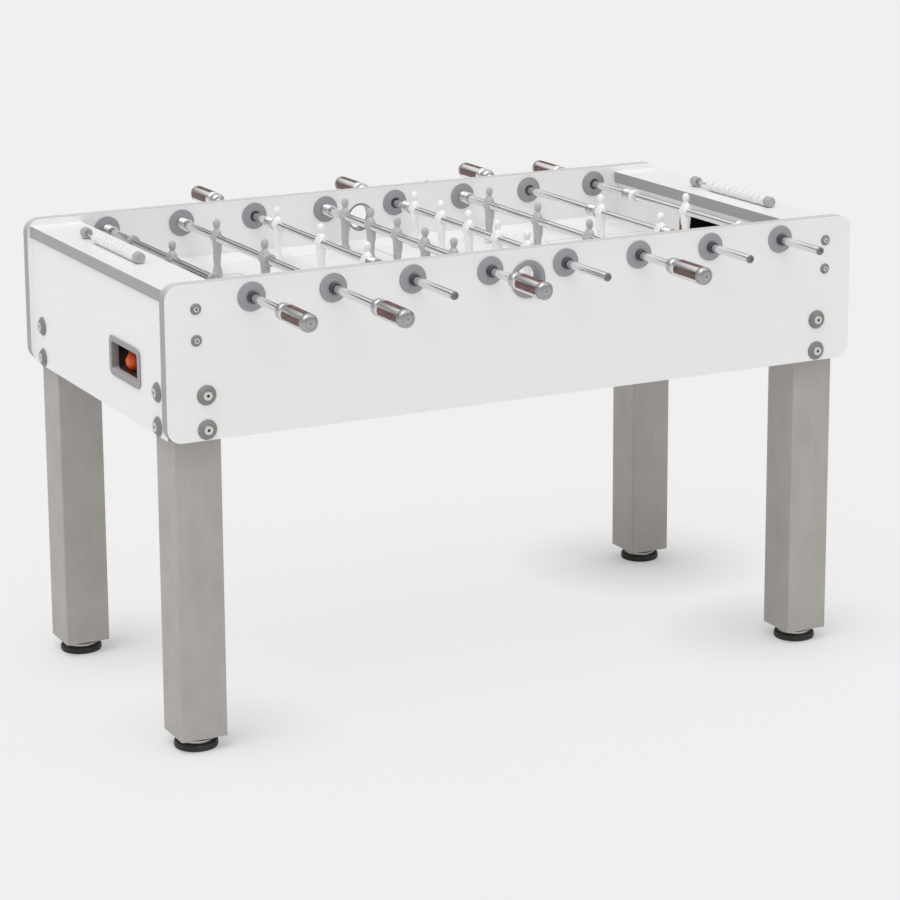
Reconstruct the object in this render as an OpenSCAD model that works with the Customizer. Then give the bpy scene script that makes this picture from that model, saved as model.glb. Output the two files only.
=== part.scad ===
// Foosball table: a white laminated cabinet on four square legs, with eight player rods.
// Millimetres, +Z up. The origin is on the floor under the middle of the table. Rods lie along Y.
// The rods are numbered from 1 at the -X end. Near is the -Y side.

/* [Cabinet] */
// Length of the side panels
table_l = 1452; // [1440:1:1500]
// Width over the side panels
table_w = 752; // [730:1:790]
// Height of the side panels' top edge above the floor
table_h = 882; // [860:1:920]
// Height of the side panels
panel_h = 287; // [280:1:320]
// Thickness of the side panels
side_t = 24; // [22:1:26]
// Radius of the side panels' corners
corner_r = 28; // [5:1:32]
// Thickness of the end panels
end_t = 12; // [9:1:12]
// How far the end panels stand back from the side panels' ends
end_recess = 10; // [6:1:12]
// Thickness of the boards that cover the ends
board_t = 23; // [18:1:24]
// How far the end boards lie below the side panels' top edge
board_drop = 12; // [8:1:20]
// Width of the boards that cover the ends
end_board_w = 106; // [102:1:112]

/* [Pitch] */
// Thickness of the playing board
field_t = 12; // [9:1:16]
// Height of the rods' axis above the playing surface
rod_over_field = 80; // [78:1:88]
// Width of the goal mouth
goal_w = 190; // [150:1:200]
// Height of the goal mouth
goal_h = 55; // [45:1:58]
// Radius of the goal mouth's upper corners
goal_r = 24; // [5:1:26]
// Thickness of the goal walls
goal_wall_t = 15; // [12:1:18]
// How far the goal walls stand behind the end boards' inner edge
goal_wall_recess = 8; // [4:1:12]
// Wall of the black goal boxes and ball trays
liner_t = 3; // [2:0.5:4]
// Diameter of the ball
ball_d = 35; // [30:1:36]

/* [Rods] */
// Distance from the outermost rods to the end boards' inner edge
keeper_gap = 54; // [52:1:60]
// Diameter of the rods
rod_d = 16; // [14:0.5:18]
// Wall of the rod tubes
rod_wall = 2.5; // [1.5:0.5:4]
// Height of the rods' axis below the side panels' top edge
rod_drop = 34; // [32:1:44]
// Radial running clearance of a rod in its bushes, and of a bush in its flanges
running_gap = 0.05; // [0.02:0.01:0.1]
// Diameter of the bearing flanges
flange_d = 54.5; // [50:0.5:60]
// Thickness of the bearing flanges at the hub
flange_t = 6; // [4:0.5:8]
// Diameter of the bushes
bush_d = 22; // [20.5:0.5:24]
// Diameter of the handles
handle_d = 33; // [28:1:38]
// Length of the handles from collar to cap
handle_l = 125; // [110:1:140]
// Length of the spring bumpers
spring_l = 30; // [20:1:34]
// Length of the caps on the rods' bare ends
end_cap_l = 16; // [10:1:30]

/* [Figures] */
// Reach of a figure's toe below the rod's axis
toe_reach = 74; // [66:0.5:75]
// Height of a figure's head above the rod's axis
head_top = 38; // [30:0.5:40]
// Width of a figure at the shoulders
figure_w = 27; // [24:0.5:30]
// Thickness of a figure's chest
figure_t = 19.5; // [19:0.5:24]
// Distance between the figures of a rod with two
spacing_2 = 236; // [200:1:250]
// Distance between the figures of a rod with three
spacing_3 = 209; // [180:1:212]
// Distance between the figures of a rod with five
spacing_5 = 121; // [110:1:122]
// Distance from the goalkeeper to the stop rings beside it
stop_ring_offset = 205; // [180:1:210]
// Travel of the goalkeeper each way from the middle of the goal
keeper_travel = 85; // [70:1:90]

/* [Legs] */
// Width of the square legs
leg_w = 90; // [80:1:90]
// Wall of the hollow legs
leg_wall = 15; // [12:1:20]
// Diameter of the levelling feet's stems
stem_d = 12; // [8:1:16]
// Rise of the legs inside the cabinet
leg_rise = 135; // [110:1:150]
// Height of the legs' lower ends above the floor
leg_clear = 26; // [24:1:40]
// Diameter of the levelling feet
foot_d = 82; // [60:1:84]

/* [Fittings] */
// Diameter of the ball serve rings
serve_ring_d = 73; // [60:1:76]
// Diameter of the hole in the ball serve rings
serve_bore_d = 50; // [42:1:52]
// Width of the ball return frames
return_w = 154; // [140:1:170]
// Height of the ball return frames
return_h = 76; // [70:1:80]
// Border of the ball return frames
return_border = 10; // [8:1:13]
// Distance of the ball return's middle from the table's middle
return_y = 150; // [130:1:160]
// Diameter of the scoring beads
bead_d = 22; // [18:1:24]
// Length of a scoring bead
bead_l = 21.5; // [18:0.5:24]
// Number of scoring beads at each end
bead_count = 10; // [6:1:10]

/* [Hidden] */
$fn = 64;

// Colours
white = [0.90, 0.90, 0.90];
edge_grey = [0.62, 0.61, 0.59];
flange_grey = [0.56, 0.56, 0.59];
dark_grey = [0.27, 0.27, 0.29];
team_grey = [0.62, 0.62, 0.63];
chrome = [0.78, 0.78, 0.80];
leg_grey = [0.66, 0.64, 0.62];
foot_black = [0.16, 0.14, 0.13];
ball_orange = [0.90, 0.33, 0.10];

// Small fits
seat_gap = 0.3;      // where a piece rests in or on another
loose_gap = 0.5;     // round what slides freely

// Cabinet planes
side_out = table_w / 2;
side_in = side_out - side_t;
panel_bottom = table_h - panel_h;
board_top = table_h - board_drop;
board_bottom = board_top - board_t;
board_end_gap = 4;                       // from a board's outer edge to the end panel's outer face
end_out = table_l / 2 - end_recess;
end_in = end_out - end_t;
board_inner_x = end_out + board_end_gap - end_board_w;
rod_pitch = 2 * (board_inner_x - keeper_gap) / 7;
rod_z = table_h - rod_drop;
field_top = rod_z - rod_over_field;
wall_in = board_inner_x + goal_wall_recess;
wall_out = wall_in + goal_wall_t;
ramp_w = 65;
ramp_h = 8;
ramp_foot = 0.4;                         // thickness left along a ramp's inner edge

// Fasteners
leg_in_end = end_in - leg_w;             // the legs stand in the cabinet's corners
leg_x = end_in - leg_w / 2;
leg_y = side_in - leg_w / 2;
side_bolt_x = leg_x - 9;
bolt_low = 20;
bolt_pitch = 63;
end_bolt_drop = 2;                       // the end bolts sit a little lower and miss the side bolts
bolt_d = 8;
bolt_reach = 44;                         // from a wall's face to the bolt's point
bolt_cup_d = 34;
bolt_head_d = 17;
screw_d = 5;
screw_reach = 40;
screw_cup_d = 21;
screw_head_d = 10;
screw_x = leg_x + 8;
screw_low = 184;
screw_pitch = 57;
block_w = 40;
block_t = 20;
support_w = 20;
support_h = 30;

// Bearings
collar_d = bush_d + 6;
collar_l = 6;
sleeve_d = bush_d + 9;
lip = 1.5;
bush_half = side_t / 2 + flange_t - lip;
bush_reach = side_t / 2 + flange_t + 5;  // its outer end stands proud of the flange

// Ball return
serve_z = rod_z - 24;
serve_sleeve_d = serve_bore_d + 8;
return_z = panel_bottom + 105;
return_in_w = return_w - 2 * return_border;      // the hole in the end panel
return_in_h = return_h - 2 * return_border;
return_in_r = 8;
return_lip = 1.5;
tray_low = return_z - return_in_h / 2 + return_lip;  // the tray is level behind the opening
tray_level_end = -(return_y - return_in_w / 2);
tray_slope = 0.08;                       // and rises towards the far end of the goal
tray_inner = end_in - 88;
tray_start = -(return_y + return_in_w / 2);
tray_end = goal_w / 2 + 8;
tray_wall_top = field_top - field_t - 20;

// Counters
rail_x = (board_inner_x + end_out) / 2 + 2;
rail_d = 8;
rail_z = board_top + bead_d / 2;
post_l = 18;
bead_play = 46;                          // free length of the rail beside the beads
rail_free = bead_count * bead_l + bead_play;
rail_shift = 36;                         // each counter stands to its player's right

// Rods: how many figures each carries, and how far it stands from mid-travel
team = [1, 2, 3, 5, 5, 3, 2, 1];
rest_shift = [0, 49, 24, 13, 15, 21, -76, -30];
near_handle = [true, true, false, true, false, true, false, false];
spring_on_wall = [true, true, false, true, false, true, false, false];
tip = [488, 443, 569, 495, 550, 500, 443, 486];  // from a rod's middle to the tip of its bare end
stop_ring_d = 26;
stop_ring_w = 10;
grip_gap = 40;                           // room for a hand between handle and flange at full travel
handle_collar_l = 18;
handle_cap_l = 15;
grip_l = handle_l - handle_collar_l - handle_cap_l;
wall_face = side_in - flange_t;          // inner face of the inner flanges
spring_d = 25;

function spacing(n) = n == 2 ? spacing_2 : n == 3 ? spacing_3 : n == 5 ? spacing_5 : 0;
// Distance from a rod's middle to the outer face of its last figure or stop ring
function outreach(n) = n == 1 ? stop_ring_offset + stop_ring_w / 2
                              : (n - 1) / 2 * spacing(n) + figure_w / 2;
// Travel each way from the middle of the table, until a spring meets the wall or a figure
function travel(n) = n == 1 ? keeper_travel : wall_face - spring_l - outreach(n) - 2;
// Distance from a rod's middle to the start of its handle
function handle_start(n) = side_out + flange_t + travel(n) + grip_gap;
function tray_floor(y) = tray_low + tray_slope * max(0, y - tray_level_end);
function rod_x(k) = (k - 4.5) * rod_pitch;
function handle_side(k) = near_handle[k - 1] ? -1 : 1;
function figure_ys(k) = let (n = team[k - 1]) [for (i = [0 : n - 1]) (i - (n - 1) / 2) * spacing(n)];

// ---------- shapes that repeat ----------

// Turns a solid drawn along +Z so that it points along +Y (side = 1) or -Y (side = -1)
module along_y(side = 1) { rotate([side > 0 ? -90 : 90, 0, 0]) children(); }

// The same piece at both ends, turned half a turn about the table's middle
module both_ends() { for (a = [0, 180]) rotate([0, 0, a]) children(); }

module four_corners() { for (a = [0, 180], m = [0, 1]) rotate([0, 0, a]) mirror([0, m, 0]) children(); }

// Places children on a rod's axis, at the rod's middle as it stands at rest
module on_rod(k) { translate([rod_x(k), rest_shift[k - 1], rod_z]) children(); }

// A plate in the XZ plane, from y0 to y0 + t
module xz_plate(y0, t) { translate([0, y0 + t, 0]) rotate([90, 0, 0]) linear_extrude(t) children(); }

// A plate in the YZ plane, from x0 to x0 + t; the outline's first axis becomes Y
module yz_plate(x0, t) { translate([x0, 0, 0]) rotate([90, 0, 90]) linear_extrude(t) children(); }

// A rectangle with its four corners rounded, drawn with true arcs
module round_rect(w, h, r) {
    square([w - 2 * r, h], center = true);
    square([w, h - 2 * r], center = true);
    for (x = [-1, 1], y = [-1, 1]) translate([x * (w / 2 - r), y * (h / 2 - r)]) circle(r);
}

// ---------- cabinet ----------

// The row of places, on a side panel, for the leg bolts or the cover screws
module bolt_places(x, low, pitch) {
    for (sx = [-1, 1], i = [0, 1]) translate([sx * x, panel_bottom + low + i * pitch]) children();
}

module side_panel(y0) {
    color(white) difference() {
        xz_plate(y0, side_t) translate([0, table_h - panel_h / 2]) round_rect(table_l, panel_h, corner_r);
        for (k = [1 : 8]) translate([rod_x(k), y0 - 1, rod_z]) along_y() cylinder(d = sleeve_d, h = side_t + 2);
        translate([0, y0 - 1, serve_z]) along_y() cylinder(d = serve_sleeve_d, h = side_t + 2);
        xz_plate(y0 - 1, side_t + 2) bolt_places(side_bolt_x, bolt_low, bolt_pitch) circle(d = bolt_d + 1);
        xz_plate(y0 - 1, side_t + 2) bolt_places(screw_x, screw_low, screw_pitch) circle(d = screw_d + 1);
    }
}
module near_side_panel() { side_panel(-side_out); }
module far_side_panel() { side_panel(side_in); }

// Closes an end of the cabinet below the top board, with the opening for the ball return
module end_panels() {
    color(white) both_ends() difference() {
        translate([end_in, -side_in, panel_bottom]) cube([end_t, 2 * side_in, board_bottom - panel_bottom]);
        translate([0, return_y, 0])
            yz_plate(end_in - 1, end_t + 2)
                translate([0, return_z]) round_rect(return_in_w, return_in_h, return_in_r);
        for (s = [-1, 1], i = [0, 1])
            translate([end_in - 1, s * leg_y, panel_bottom + bolt_low - end_bolt_drop + i * bolt_pitch])
                rotate([0, 90, 0]) cylinder(d = bolt_d + 1, h = end_t + 2);
    }
}

module playfield() {
    color(white)
        translate([-wall_out, -side_in, field_top - field_t]) cube([2 * wall_out, 2 * side_in, field_t]);
}

// Raised strips along both sides, which send a slow ball back to the figures
module side_ramps() {
    color(white) both_ends() translate([-wall_in + seat_gap, 0, field_top])
        yz_plate(0, 2 * (wall_in - seat_gap)) polygon([
            [side_in - ramp_w, 0], [side_in, 0], [side_in, ramp_h], [side_in - ramp_w, ramp_foot]
        ]);
}

// Battens that carry the playing board, and corner blocks that carry the end boards
module field_supports() {
    color([0.72, 0.60, 0.45]) {
        for (s = [-1, 1]) translate([-leg_in_end + 1, s > 0 ? side_in - support_w : -side_in, field_top - field_t - support_h])
            cube([2 * leg_in_end - 2, support_w, support_h]);
        four_corners() difference() {
            translate([screw_x - block_w / 2, side_in - block_t, field_top]) cube([block_w, block_t, board_bottom - field_top]);
            for (i = [0, 1]) translate([screw_x, side_in - block_t - 1, panel_bottom + screw_low + i * screw_pitch])
                along_y() cylinder(d = screw_d, h = block_t + 2);
        }
    }
}

module top_boards() {
    color(white) both_ends()
        translate([board_inner_x, -side_in, board_bottom])
            cube([end_out + board_end_gap - board_inner_x, 2 * side_in, board_t]);
}

// The outline of the goal mouth: square at the pitch, round at the top
module goal_outline() {
    translate([-goal_w / 2, -1]) square([goal_w, goal_h - goal_r + 1]);
    translate([-goal_w / 2 + goal_r, 0]) square([goal_w - 2 * goal_r, goal_h]);
    for (s = [-1, 1]) translate([s * (goal_w / 2 - goal_r), goal_h - goal_r]) circle(goal_r);
}

module goal_walls() {
    color(white) both_ends() difference() {
        translate([wall_in, -side_in, field_top]) cube([goal_wall_t, 2 * side_in, board_bottom - field_top]);
        yz_plate(wall_in - 1, goal_wall_t + 2) translate([0, field_top]) goal_outline();
    }
}

// Black lining behind the goal mouth: open to the mouth and open below, over the ball tray
module goal_boxes() {
    inside_w = goal_w + 4;
    depth = end_in - wall_out;
    h = board_bottom - field_top;
    color([0.08, 0.08, 0.08]) both_ends() difference() {
        translate([wall_out, -inside_w / 2 - liner_t, tray_wall_top + 4])
            cube([depth, inside_w + 2 * liner_t, board_bottom - 1 - tray_wall_top - 4]);
        translate([wall_out - 1, -inside_w / 2, tray_wall_top + 3])
            cube([depth - liner_t + 1, inside_w, h + field_top - tray_wall_top - liner_t - 4]);
    }
}

// Sloping tray that carries a scored ball to the return opening
module ball_trays() {
    w = end_in - tray_inner;
    inner_end = tray_end - liner_t;
    color([0.12, 0.12, 0.12]) both_ends() mirror([0, 1, 0]) difference() {
        yz_plate(tray_inner, w) polygon([
            [tray_start - liner_t, tray_low - liner_t], [tray_level_end, tray_low - liner_t],
            [tray_end, tray_floor(tray_end) - liner_t], [tray_end, tray_wall_top],
            [tray_start - liner_t, tray_wall_top]
        ]);
        yz_plate(tray_inner + liner_t, w) polygon([
            [tray_start, tray_low], [tray_level_end, tray_low], [inner_end, tray_floor(inner_end)],
            [inner_end, tray_wall_top + 1], [tray_start, tray_wall_top + 1]
        ]);
    }
}

// Dark-edged frame round the ball return
module return_frames() {
    color(edge_grey) both_ends() translate([0, return_y, 0]) {
        yz_plate(end_out, 3) translate([0, return_z]) difference() {
            round_rect(return_w, return_h, 15);
            round_rect(return_in_w - 2 * return_lip, return_in_h - 2 * return_lip, return_in_r - return_lip);
        }
        yz_plate(end_out - 8, 8) translate([0, return_z]) difference() {
            round_rect(return_in_w - seat_gap, return_in_h - seat_gap, return_in_r - seat_gap / 2);
            round_rect(return_in_w - 2 * return_lip, return_in_h - 2 * return_lip, return_in_r - return_lip);
        }
    }
}

// ---------- legs ----------

module leg_outline() { translate([leg_x, leg_y]) round_rect(leg_w, leg_w, 3); }

// Hollow square legs, bored for the bolts, with a plug that takes the foot's stem
module legs() {
    plug_h = 22;
    color(leg_grey) four_corners() difference() {
        translate([0, 0, leg_clear]) linear_extrude(panel_bottom + leg_rise - leg_clear) leg_outline();
        translate([leg_x - leg_w / 2 + leg_wall, leg_y - leg_w / 2 + leg_wall, leg_clear + plug_h])
            cube([leg_w - 2 * leg_wall, leg_w - 2 * leg_wall, table_h]);
        translate([leg_x, leg_y, 0]) cylinder(d = stem_d + 2 * running_gap, h = leg_clear + plug_h + 1);
        for (i = [0, 1]) {
            translate([side_bolt_x, leg_y, panel_bottom + bolt_low + i * bolt_pitch])
                along_y() cylinder(d = bolt_d + 2 * seat_gap, h = leg_w);
            translate([leg_x, leg_y, panel_bottom + bolt_low - end_bolt_drop + i * bolt_pitch])
                rotate([0, 90, 0]) cylinder(d = bolt_d + 2 * seat_gap, h = leg_w);
        }
    }
}

// Turned foot: black pad, bright ring and threaded stem in one profile
module levelling_feet() {
    r = foot_d / 2;
    color(foot_black) four_corners() translate([leg_x, leg_y, 0]) rotate_extrude() polygon([
        [0, 0], [r - 4, 0], [r - 1, 1.2], [r, 4], [r, 10], [r - 1.5, 13], [r - 5, 14.5],
        [r - 9, 15], [r - 9, 18], [r - 10, 19], [r - 16, 19.5], [14, 20], [14, leg_clear - seat_gap],
        [stem_d / 2, leg_clear - seat_gap], [stem_d / 2, leg_clear + 18], [stem_d / 2 - 1, leg_clear + 20],
        [0, leg_clear + 20]
    ]);
}

// A bolt or screw seen along +Z with its cup washer at z = 0: reach goes into the wood behind
module cup_bolt(shank_d, reach, cup_d, head_d, socket_d) {
    cup_h = cup_d * 0.16;
    difference() {
        union() {
            rotate_extrude() polygon([
                [0, 0], [cup_d / 2, 0], [cup_d / 2 - 0.4, cup_h * 0.45], [cup_d * 0.36, cup_h],
                [head_d / 2, cup_h * 0.8], [head_d / 2, cup_h * 0.9], [head_d * 0.44, cup_h * 1.25],
                [head_d * 0.3, cup_h * 1.45], [0, cup_h * 1.5]
            ]);
            translate([0, 0, -reach]) cylinder(d = shank_d, h = reach + 1);
        }
        translate([0, 0, cup_h * 0.4]) cylinder(d = socket_d, h = cup_h * 2, $fn = 6);
    }
}

module leg_bolts() {
    color(team_grey) {
        for (s = [-1, 1], sx = [-1, 1], i = [0, 1])
            translate([sx * side_bolt_x, s * side_out, panel_bottom + bolt_low + i * bolt_pitch])
                along_y(s) cup_bolt(bolt_d, bolt_reach, bolt_cup_d, bolt_head_d, 5.5);
        for (a = [0, 180], s = [-1, 1], i = [0, 1]) rotate([0, 0, a])
            translate([end_out, s * leg_y, panel_bottom + bolt_low - end_bolt_drop + i * bolt_pitch])
                rotate([0, 90, 0]) cup_bolt(bolt_d, bolt_reach - side_t + end_t, bolt_cup_d, bolt_head_d, 5.5);
    }
}

module panel_screws() {
    color(team_grey) for (s = [-1, 1], sx = [-1, 1], i = [0, 1])
        translate([sx * screw_x, s * side_out, panel_bottom + screw_low + i * screw_pitch])
            along_y(s) cup_bolt(screw_d - 2 * running_gap, screw_reach, screw_cup_d, screw_head_d, 3.2);
}

// ---------- bearings ----------

// One half of a bearing, on a wall face at z = 0: the sleeve goes into the wall
module flange_half() {
    r = flange_d / 2;
    bore = bush_d / 2 + running_gap;
    sleeve_end = -(side_t / 2 - collar_l / 2 - seat_gap);
    rotate_extrude() polygon([
        [bore, sleeve_end], [sleeve_d / 2 - running_gap, sleeve_end], [sleeve_d / 2 - running_gap, 0],
        [r, 0], [r, 1.6], [r - 0.8, 2.6], [r - 3, 3.2], [bush_d / 2 + 5, flange_t - 0.6],
        [bush_d / 2 + 4, flange_t], [bore, flange_t]
    ]);
}

// Two halves clamp each side panel round every rod
module bearing_flanges() {
    color(flange_grey) for (k = [1 : 8], s = [-1, 1]) {
        translate([rod_x(k), s * side_out, rod_z]) along_y(s) flange_half();
        translate([rod_x(k), s * side_in, rod_z]) along_y(-s) flange_half();
    }
}

// The bush turns in the flanges, held lengthwise by its collar; the rod slides through it
module bush() {
    color(dark_grey) rotate_extrude() polygon([
        [rod_d / 2 + running_gap, -bush_half], [bush_d / 2 - 1, -bush_half], [bush_d / 2, -bush_half + 1],
        [bush_d / 2, -collar_l / 2], [collar_d / 2, -collar_l / 2],
        [collar_d / 2, collar_l / 2], [bush_d / 2, collar_l / 2],
        [bush_d / 2, bush_reach - 1], [bush_d / 2 - 1, bush_reach], [rod_d / 2 + running_gap, bush_reach]
    ]);
}
module bushes(k) {
    for (s = [-1, 1]) translate([rod_x(k), s * (side_in + side_t / 2), rod_z]) along_y(s) bush();
}

// ---------- rods ----------

// Chromed tube with a plastic cap on its bare end; a goalkeeper's rod has two stop rings
module rod(k) {
    n = team[k - 1];
    hs = handle_side(k);
    tube_end = tip[k - 1] - end_cap_l;
    tube_l = tube_end + handle_start(n) + handle_collar_l + grip_l;
    color(chrome) on_rod(k) along_y(hs) translate([0, 0, -tube_end]) difference() {
        cylinder(d = rod_d, h = tube_l);
        translate([0, 0, -1]) cylinder(d = rod_d - 2 * rod_wall, h = tube_l + 2);
    }
    color(dark_grey) on_rod(k) along_y(-hs) translate([0, 0, tube_end]) rotate_extrude() polygon([
        [0, 0], [rod_d / 2, 0], [rod_d / 2, 4], [rod_d / 2 + 1.2, 4], [rod_d / 2 + 1.2, end_cap_l - 4],
        [rod_d / 2, end_cap_l - 1.2], [rod_d / 2 - 2.5, end_cap_l], [0, end_cap_l]
    ]);
    if (n == 1) color(k < 4.5 ? team_grey : white) on_rod(k)
        for (s = [-1, 1]) translate([0, s * stop_ring_offset, 0]) along_y() stop_ring();
    if (k == 2) color(team_grey) on_rod(k)
        translate([0, -(spacing_2 / 2 + figure_w / 2 + stop_ring_w / 2 + 2), 0]) along_y() stop_ring();
}

module stop_ring() {
    w = stop_ring_w / 2;
    r = stop_ring_d / 2;
    rotate_extrude() polygon([
        [rod_d / 2, -w], [r - 1, -w], [r, -w + 1], [r, w - 1], [r - 1, w], [rod_d / 2, w]
    ]);
}

// Handle: polished collar, grip tube with four inlaid stripes and a domed end cap
module handle(k) {
    n = team[k - 1];
    r = handle_d / 2;
    inlay = 15.5;
    inlay_depth = 0.8;
    on_rod(k) along_y(handle_side(k)) translate([0, 0, handle_start(n)]) {
        color(chrome) difference() {
            rotate_extrude() polygon([
                [rod_d / 2, 0], [rod_d / 2 + 2.5, 0], [rod_d / 2 + 4, 1], [r - 2, handle_collar_l - 6],
                [r - 0.6, handle_collar_l - 2.5], [r, handle_collar_l], [r, handle_collar_l + grip_l],
                [rod_d / 2, handle_collar_l + grip_l]
            ]);
            translate([0, 0, handle_collar_l]) intersection() {
                rotate_extrude() translate([r - inlay_depth, 0]) square([2 * inlay_depth, grip_l + 1]);
                union() for (a = [0, 90]) rotate([0, 0, a])
                    translate([-r - 2, -inlay / 2, -1]) cube([2 * r + 4, inlay, grip_l + 3]);
            }
        }
        color(flange_grey) translate([0, 0, handle_collar_l + grip_l]) rotate_extrude() polygon([
            [0, 0], [r + 0.6, 0], [r + 0.6, handle_cap_l - 7], [r - 0.4, handle_cap_l - 3.5],
            [r - 3, handle_cap_l - 1.5], [r - 6, handle_cap_l - 0.6], [0, handle_cap_l]
        ]);
    }
}

// ---------- figures ----------

// Front view of a player, from toes to neck: blocky feet, narrow legs, shoulders above the rod
module figure_front() {
    w = figure_w / 2;
    polygon([
        [-w * 0.74, -toe_reach], [w * 0.74, -toe_reach], [w * 0.78, -toe_reach + 13], [w * 0.60, -toe_reach + 21],
        [w * 0.66, -30], [w * 0.74, -16], [w * 0.86, -6], [w, 4], [w, 9], [w * 0.82, 13],
        [w * 0.34, 15.5], [w * 0.30, 20],
        [-w * 0.30, 20], [-w * 0.34, 15.5], [-w * 0.82, 13], [-w, 9], [-w, 4], [-w * 0.86, -6],
        [-w * 0.74, -16], [-w * 0.66, -30], [-w * 0.60, -toe_reach + 21], [-w * 0.78, -toe_reach + 13]
    ]);
}

// Side view: the foot is a flat-faced block, the legs taper to it and the chest holds the rod
module figure_side() {
    t = figure_t / 2;
    polygon([
        [-t * 0.82, -toe_reach], [t * 0.82, -toe_reach], [t * 0.86, -toe_reach + 12], [t * 0.46, -toe_reach + 24],
        [t * 0.70, -26], [t * 0.92, -12], [t * 1.08, -2], [t * 1.08, 6], [t * 0.80, 12], [t * 0.46, 16], [t * 0.40, 20],
        [-t * 0.40, 20], [-t * 0.46, 16], [-t * 0.80, 12], [-t * 1.08, 6], [-t * 1.08, -2], [-t * 0.92, -12],
        [-t * 0.70, -26], [-t * 0.46, -toe_reach + 24], [-t * 0.86, -toe_reach + 12]
    ]);
}

module figure() {
    head_r = 7.6;
    difference() {
        union() {
            intersection() {
                yz_plate(-20, 40) figure_front();
                xz_plate(-20, 40) figure_side();
            }
            translate([0, 0, head_top - head_r]) sphere(head_r);
            translate([0, 0, 16]) cylinder(d = 8, h = head_top - head_r - 16);
        }
        translate([0, -25, 0]) along_y() cylinder(d = rod_d + 2 * running_gap, h = 50);
    }
}

module figures(k) {
    color(k == 1 || k == 2 || k == 4 || k == 6 ? team_grey : white)
        on_rod(k) for (y = figure_ys(k)) translate([0, y, 0]) figure();
}

// ---------- springs ----------

// Bumper spring with a washer on its figure side, drawn as its coils' outline
module spring() {
    wire = 2.5;
    turns = floor((spring_l - 2) / (wire * 1.6));
    step = (spring_l - 2) / turns;
    r_in = rod_d / 2 + loose_gap;
    rotate_extrude() polygon(concat(
        [[r_in, 0], [spring_d / 2 - 1.5, 0]],
        [for (i = [0 : turns - 1], e = [[0.3, 0], [0.7, 0], [1, -1.4]])
            [spring_d / 2 - 1.5 + e[1], (i + e[0]) * step]],
        [[spring_d / 2, spring_l - 2], [spring_d / 2, spring_l], [r_in, spring_l]]
    ));
}

module springs(k) {
    n = team[k - 1];
    color(chrome) translate([rod_x(k), 0, rod_z]) for (s = [-1, 1])
        if (spring_on_wall[k - 1])
            translate([0, s * (wall_face - seat_gap), 0]) along_y(-s) spring();
        else
            translate([0, rest_shift[k - 1] + s * (outreach(n) + seat_gap + spring_l), 0]) along_y(-s) spring();
}

// ---------- ball service ----------

// Ring and short spout through a side panel, where the ball is served
module serve_cups() {
    r = serve_ring_d / 2;
    b = serve_bore_d / 2;
    color(chrome) for (s = [-1, 1]) translate([0, s * side_out, serve_z]) along_y(s) rotate_extrude() polygon([
        [b, -side_t - 1], [b + 3, -side_t - 1], [b + 4 - running_gap, -side_t + 1], [b + 4 - running_gap, 0], [r, 0],
        [r, 1.5], [r - 1.5, 3.5], [b + 4, 4], [b + 1.5, 3], [b, 0]
    ]);
}

// Two balls wait in the level part of the -X tray, touching each other
module balls() {
    second = ball_d + seat_gap;
    color(ball_orange) translate([-end_in + seat_gap + ball_d / 2, -return_y + 30, tray_low + seat_gap + ball_d / 2]) {
        sphere(d = ball_d);
        translate([second * sin(26), second * cos(26), 0]) sphere(d = ball_d);
    }
}

// ---------- counters ----------

// Chromed rail between two round posts on an end board
module score_rails() {
    color(flange_grey) for (e = [-1, 1], s = [-1, 1])
        translate([e * rail_x, s * (rail_free / 2 + post_l) - e * rail_shift, rail_z]) along_y(-s) difference() {
            rotate_extrude() polygon([
                [0, 0], [bead_d / 2 - 2, 0], [bead_d / 2 - 0.2, 2], [bead_d / 2 - 0.2, post_l - 1],
                [bead_d / 2 - 1.2, post_l], [0, post_l]
            ]);
            translate([0, 0, post_l - 8]) cylinder(d = rail_d, h = 9);
        }
    color(chrome) for (e = [-1, 1]) translate([e * rail_x, -rail_free / 2 - 8 - e * rail_shift, rail_z])
        along_y() cylinder(d = rail_d, h = rail_free + 16);
}

// A row of beads on a rail, from y0 upwards
module beads(x, y0) {
    color(white) for (i = [0 : bead_count - 1]) translate([x, y0 + i * bead_l, rail_z]) along_y() rotate_extrude() polygon([
        [rail_d / 2 + loose_gap / 2, 0.2], [bead_d / 2 - 2.2, 0.2], [bead_d / 2 - 0.5, 2], [bead_d / 2 - 0.5, bead_l - 2],
        [bead_d / 2 - 2.2, bead_l - 0.2], [rail_d / 2 + loose_gap / 2, bead_l - 0.2]
    ]);
}
module left_score_beads() { beads(-rail_x, rail_shift - rail_free / 2); }
module right_score_beads() { beads(rail_x, -rail_shift - rail_free / 2); }

near_side_panel();
far_side_panel();
end_panels();
playfield();
side_ramps();
field_supports();
top_boards();
goal_walls();
goal_boxes();
ball_trays();
return_frames();
legs();
levelling_feet();
leg_bolts();
panel_screws();
bearing_flanges();
serve_cups();
balls();
score_rails();
left_score_beads();
right_score_beads();
for (k = [1 : 8]) {
    rod(k);
    handle(k);
    figures(k);
    bushes(k);
    springs(k);
}
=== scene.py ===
"""The looks of a foosball table: laminate, brushed legs, chromed rods and moulded players."""
import logging
import math
from dataclasses import dataclass, field
from enum import Enum
from typing import Sequence

import bpy
from mathutils import Matrix, Vector


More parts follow.
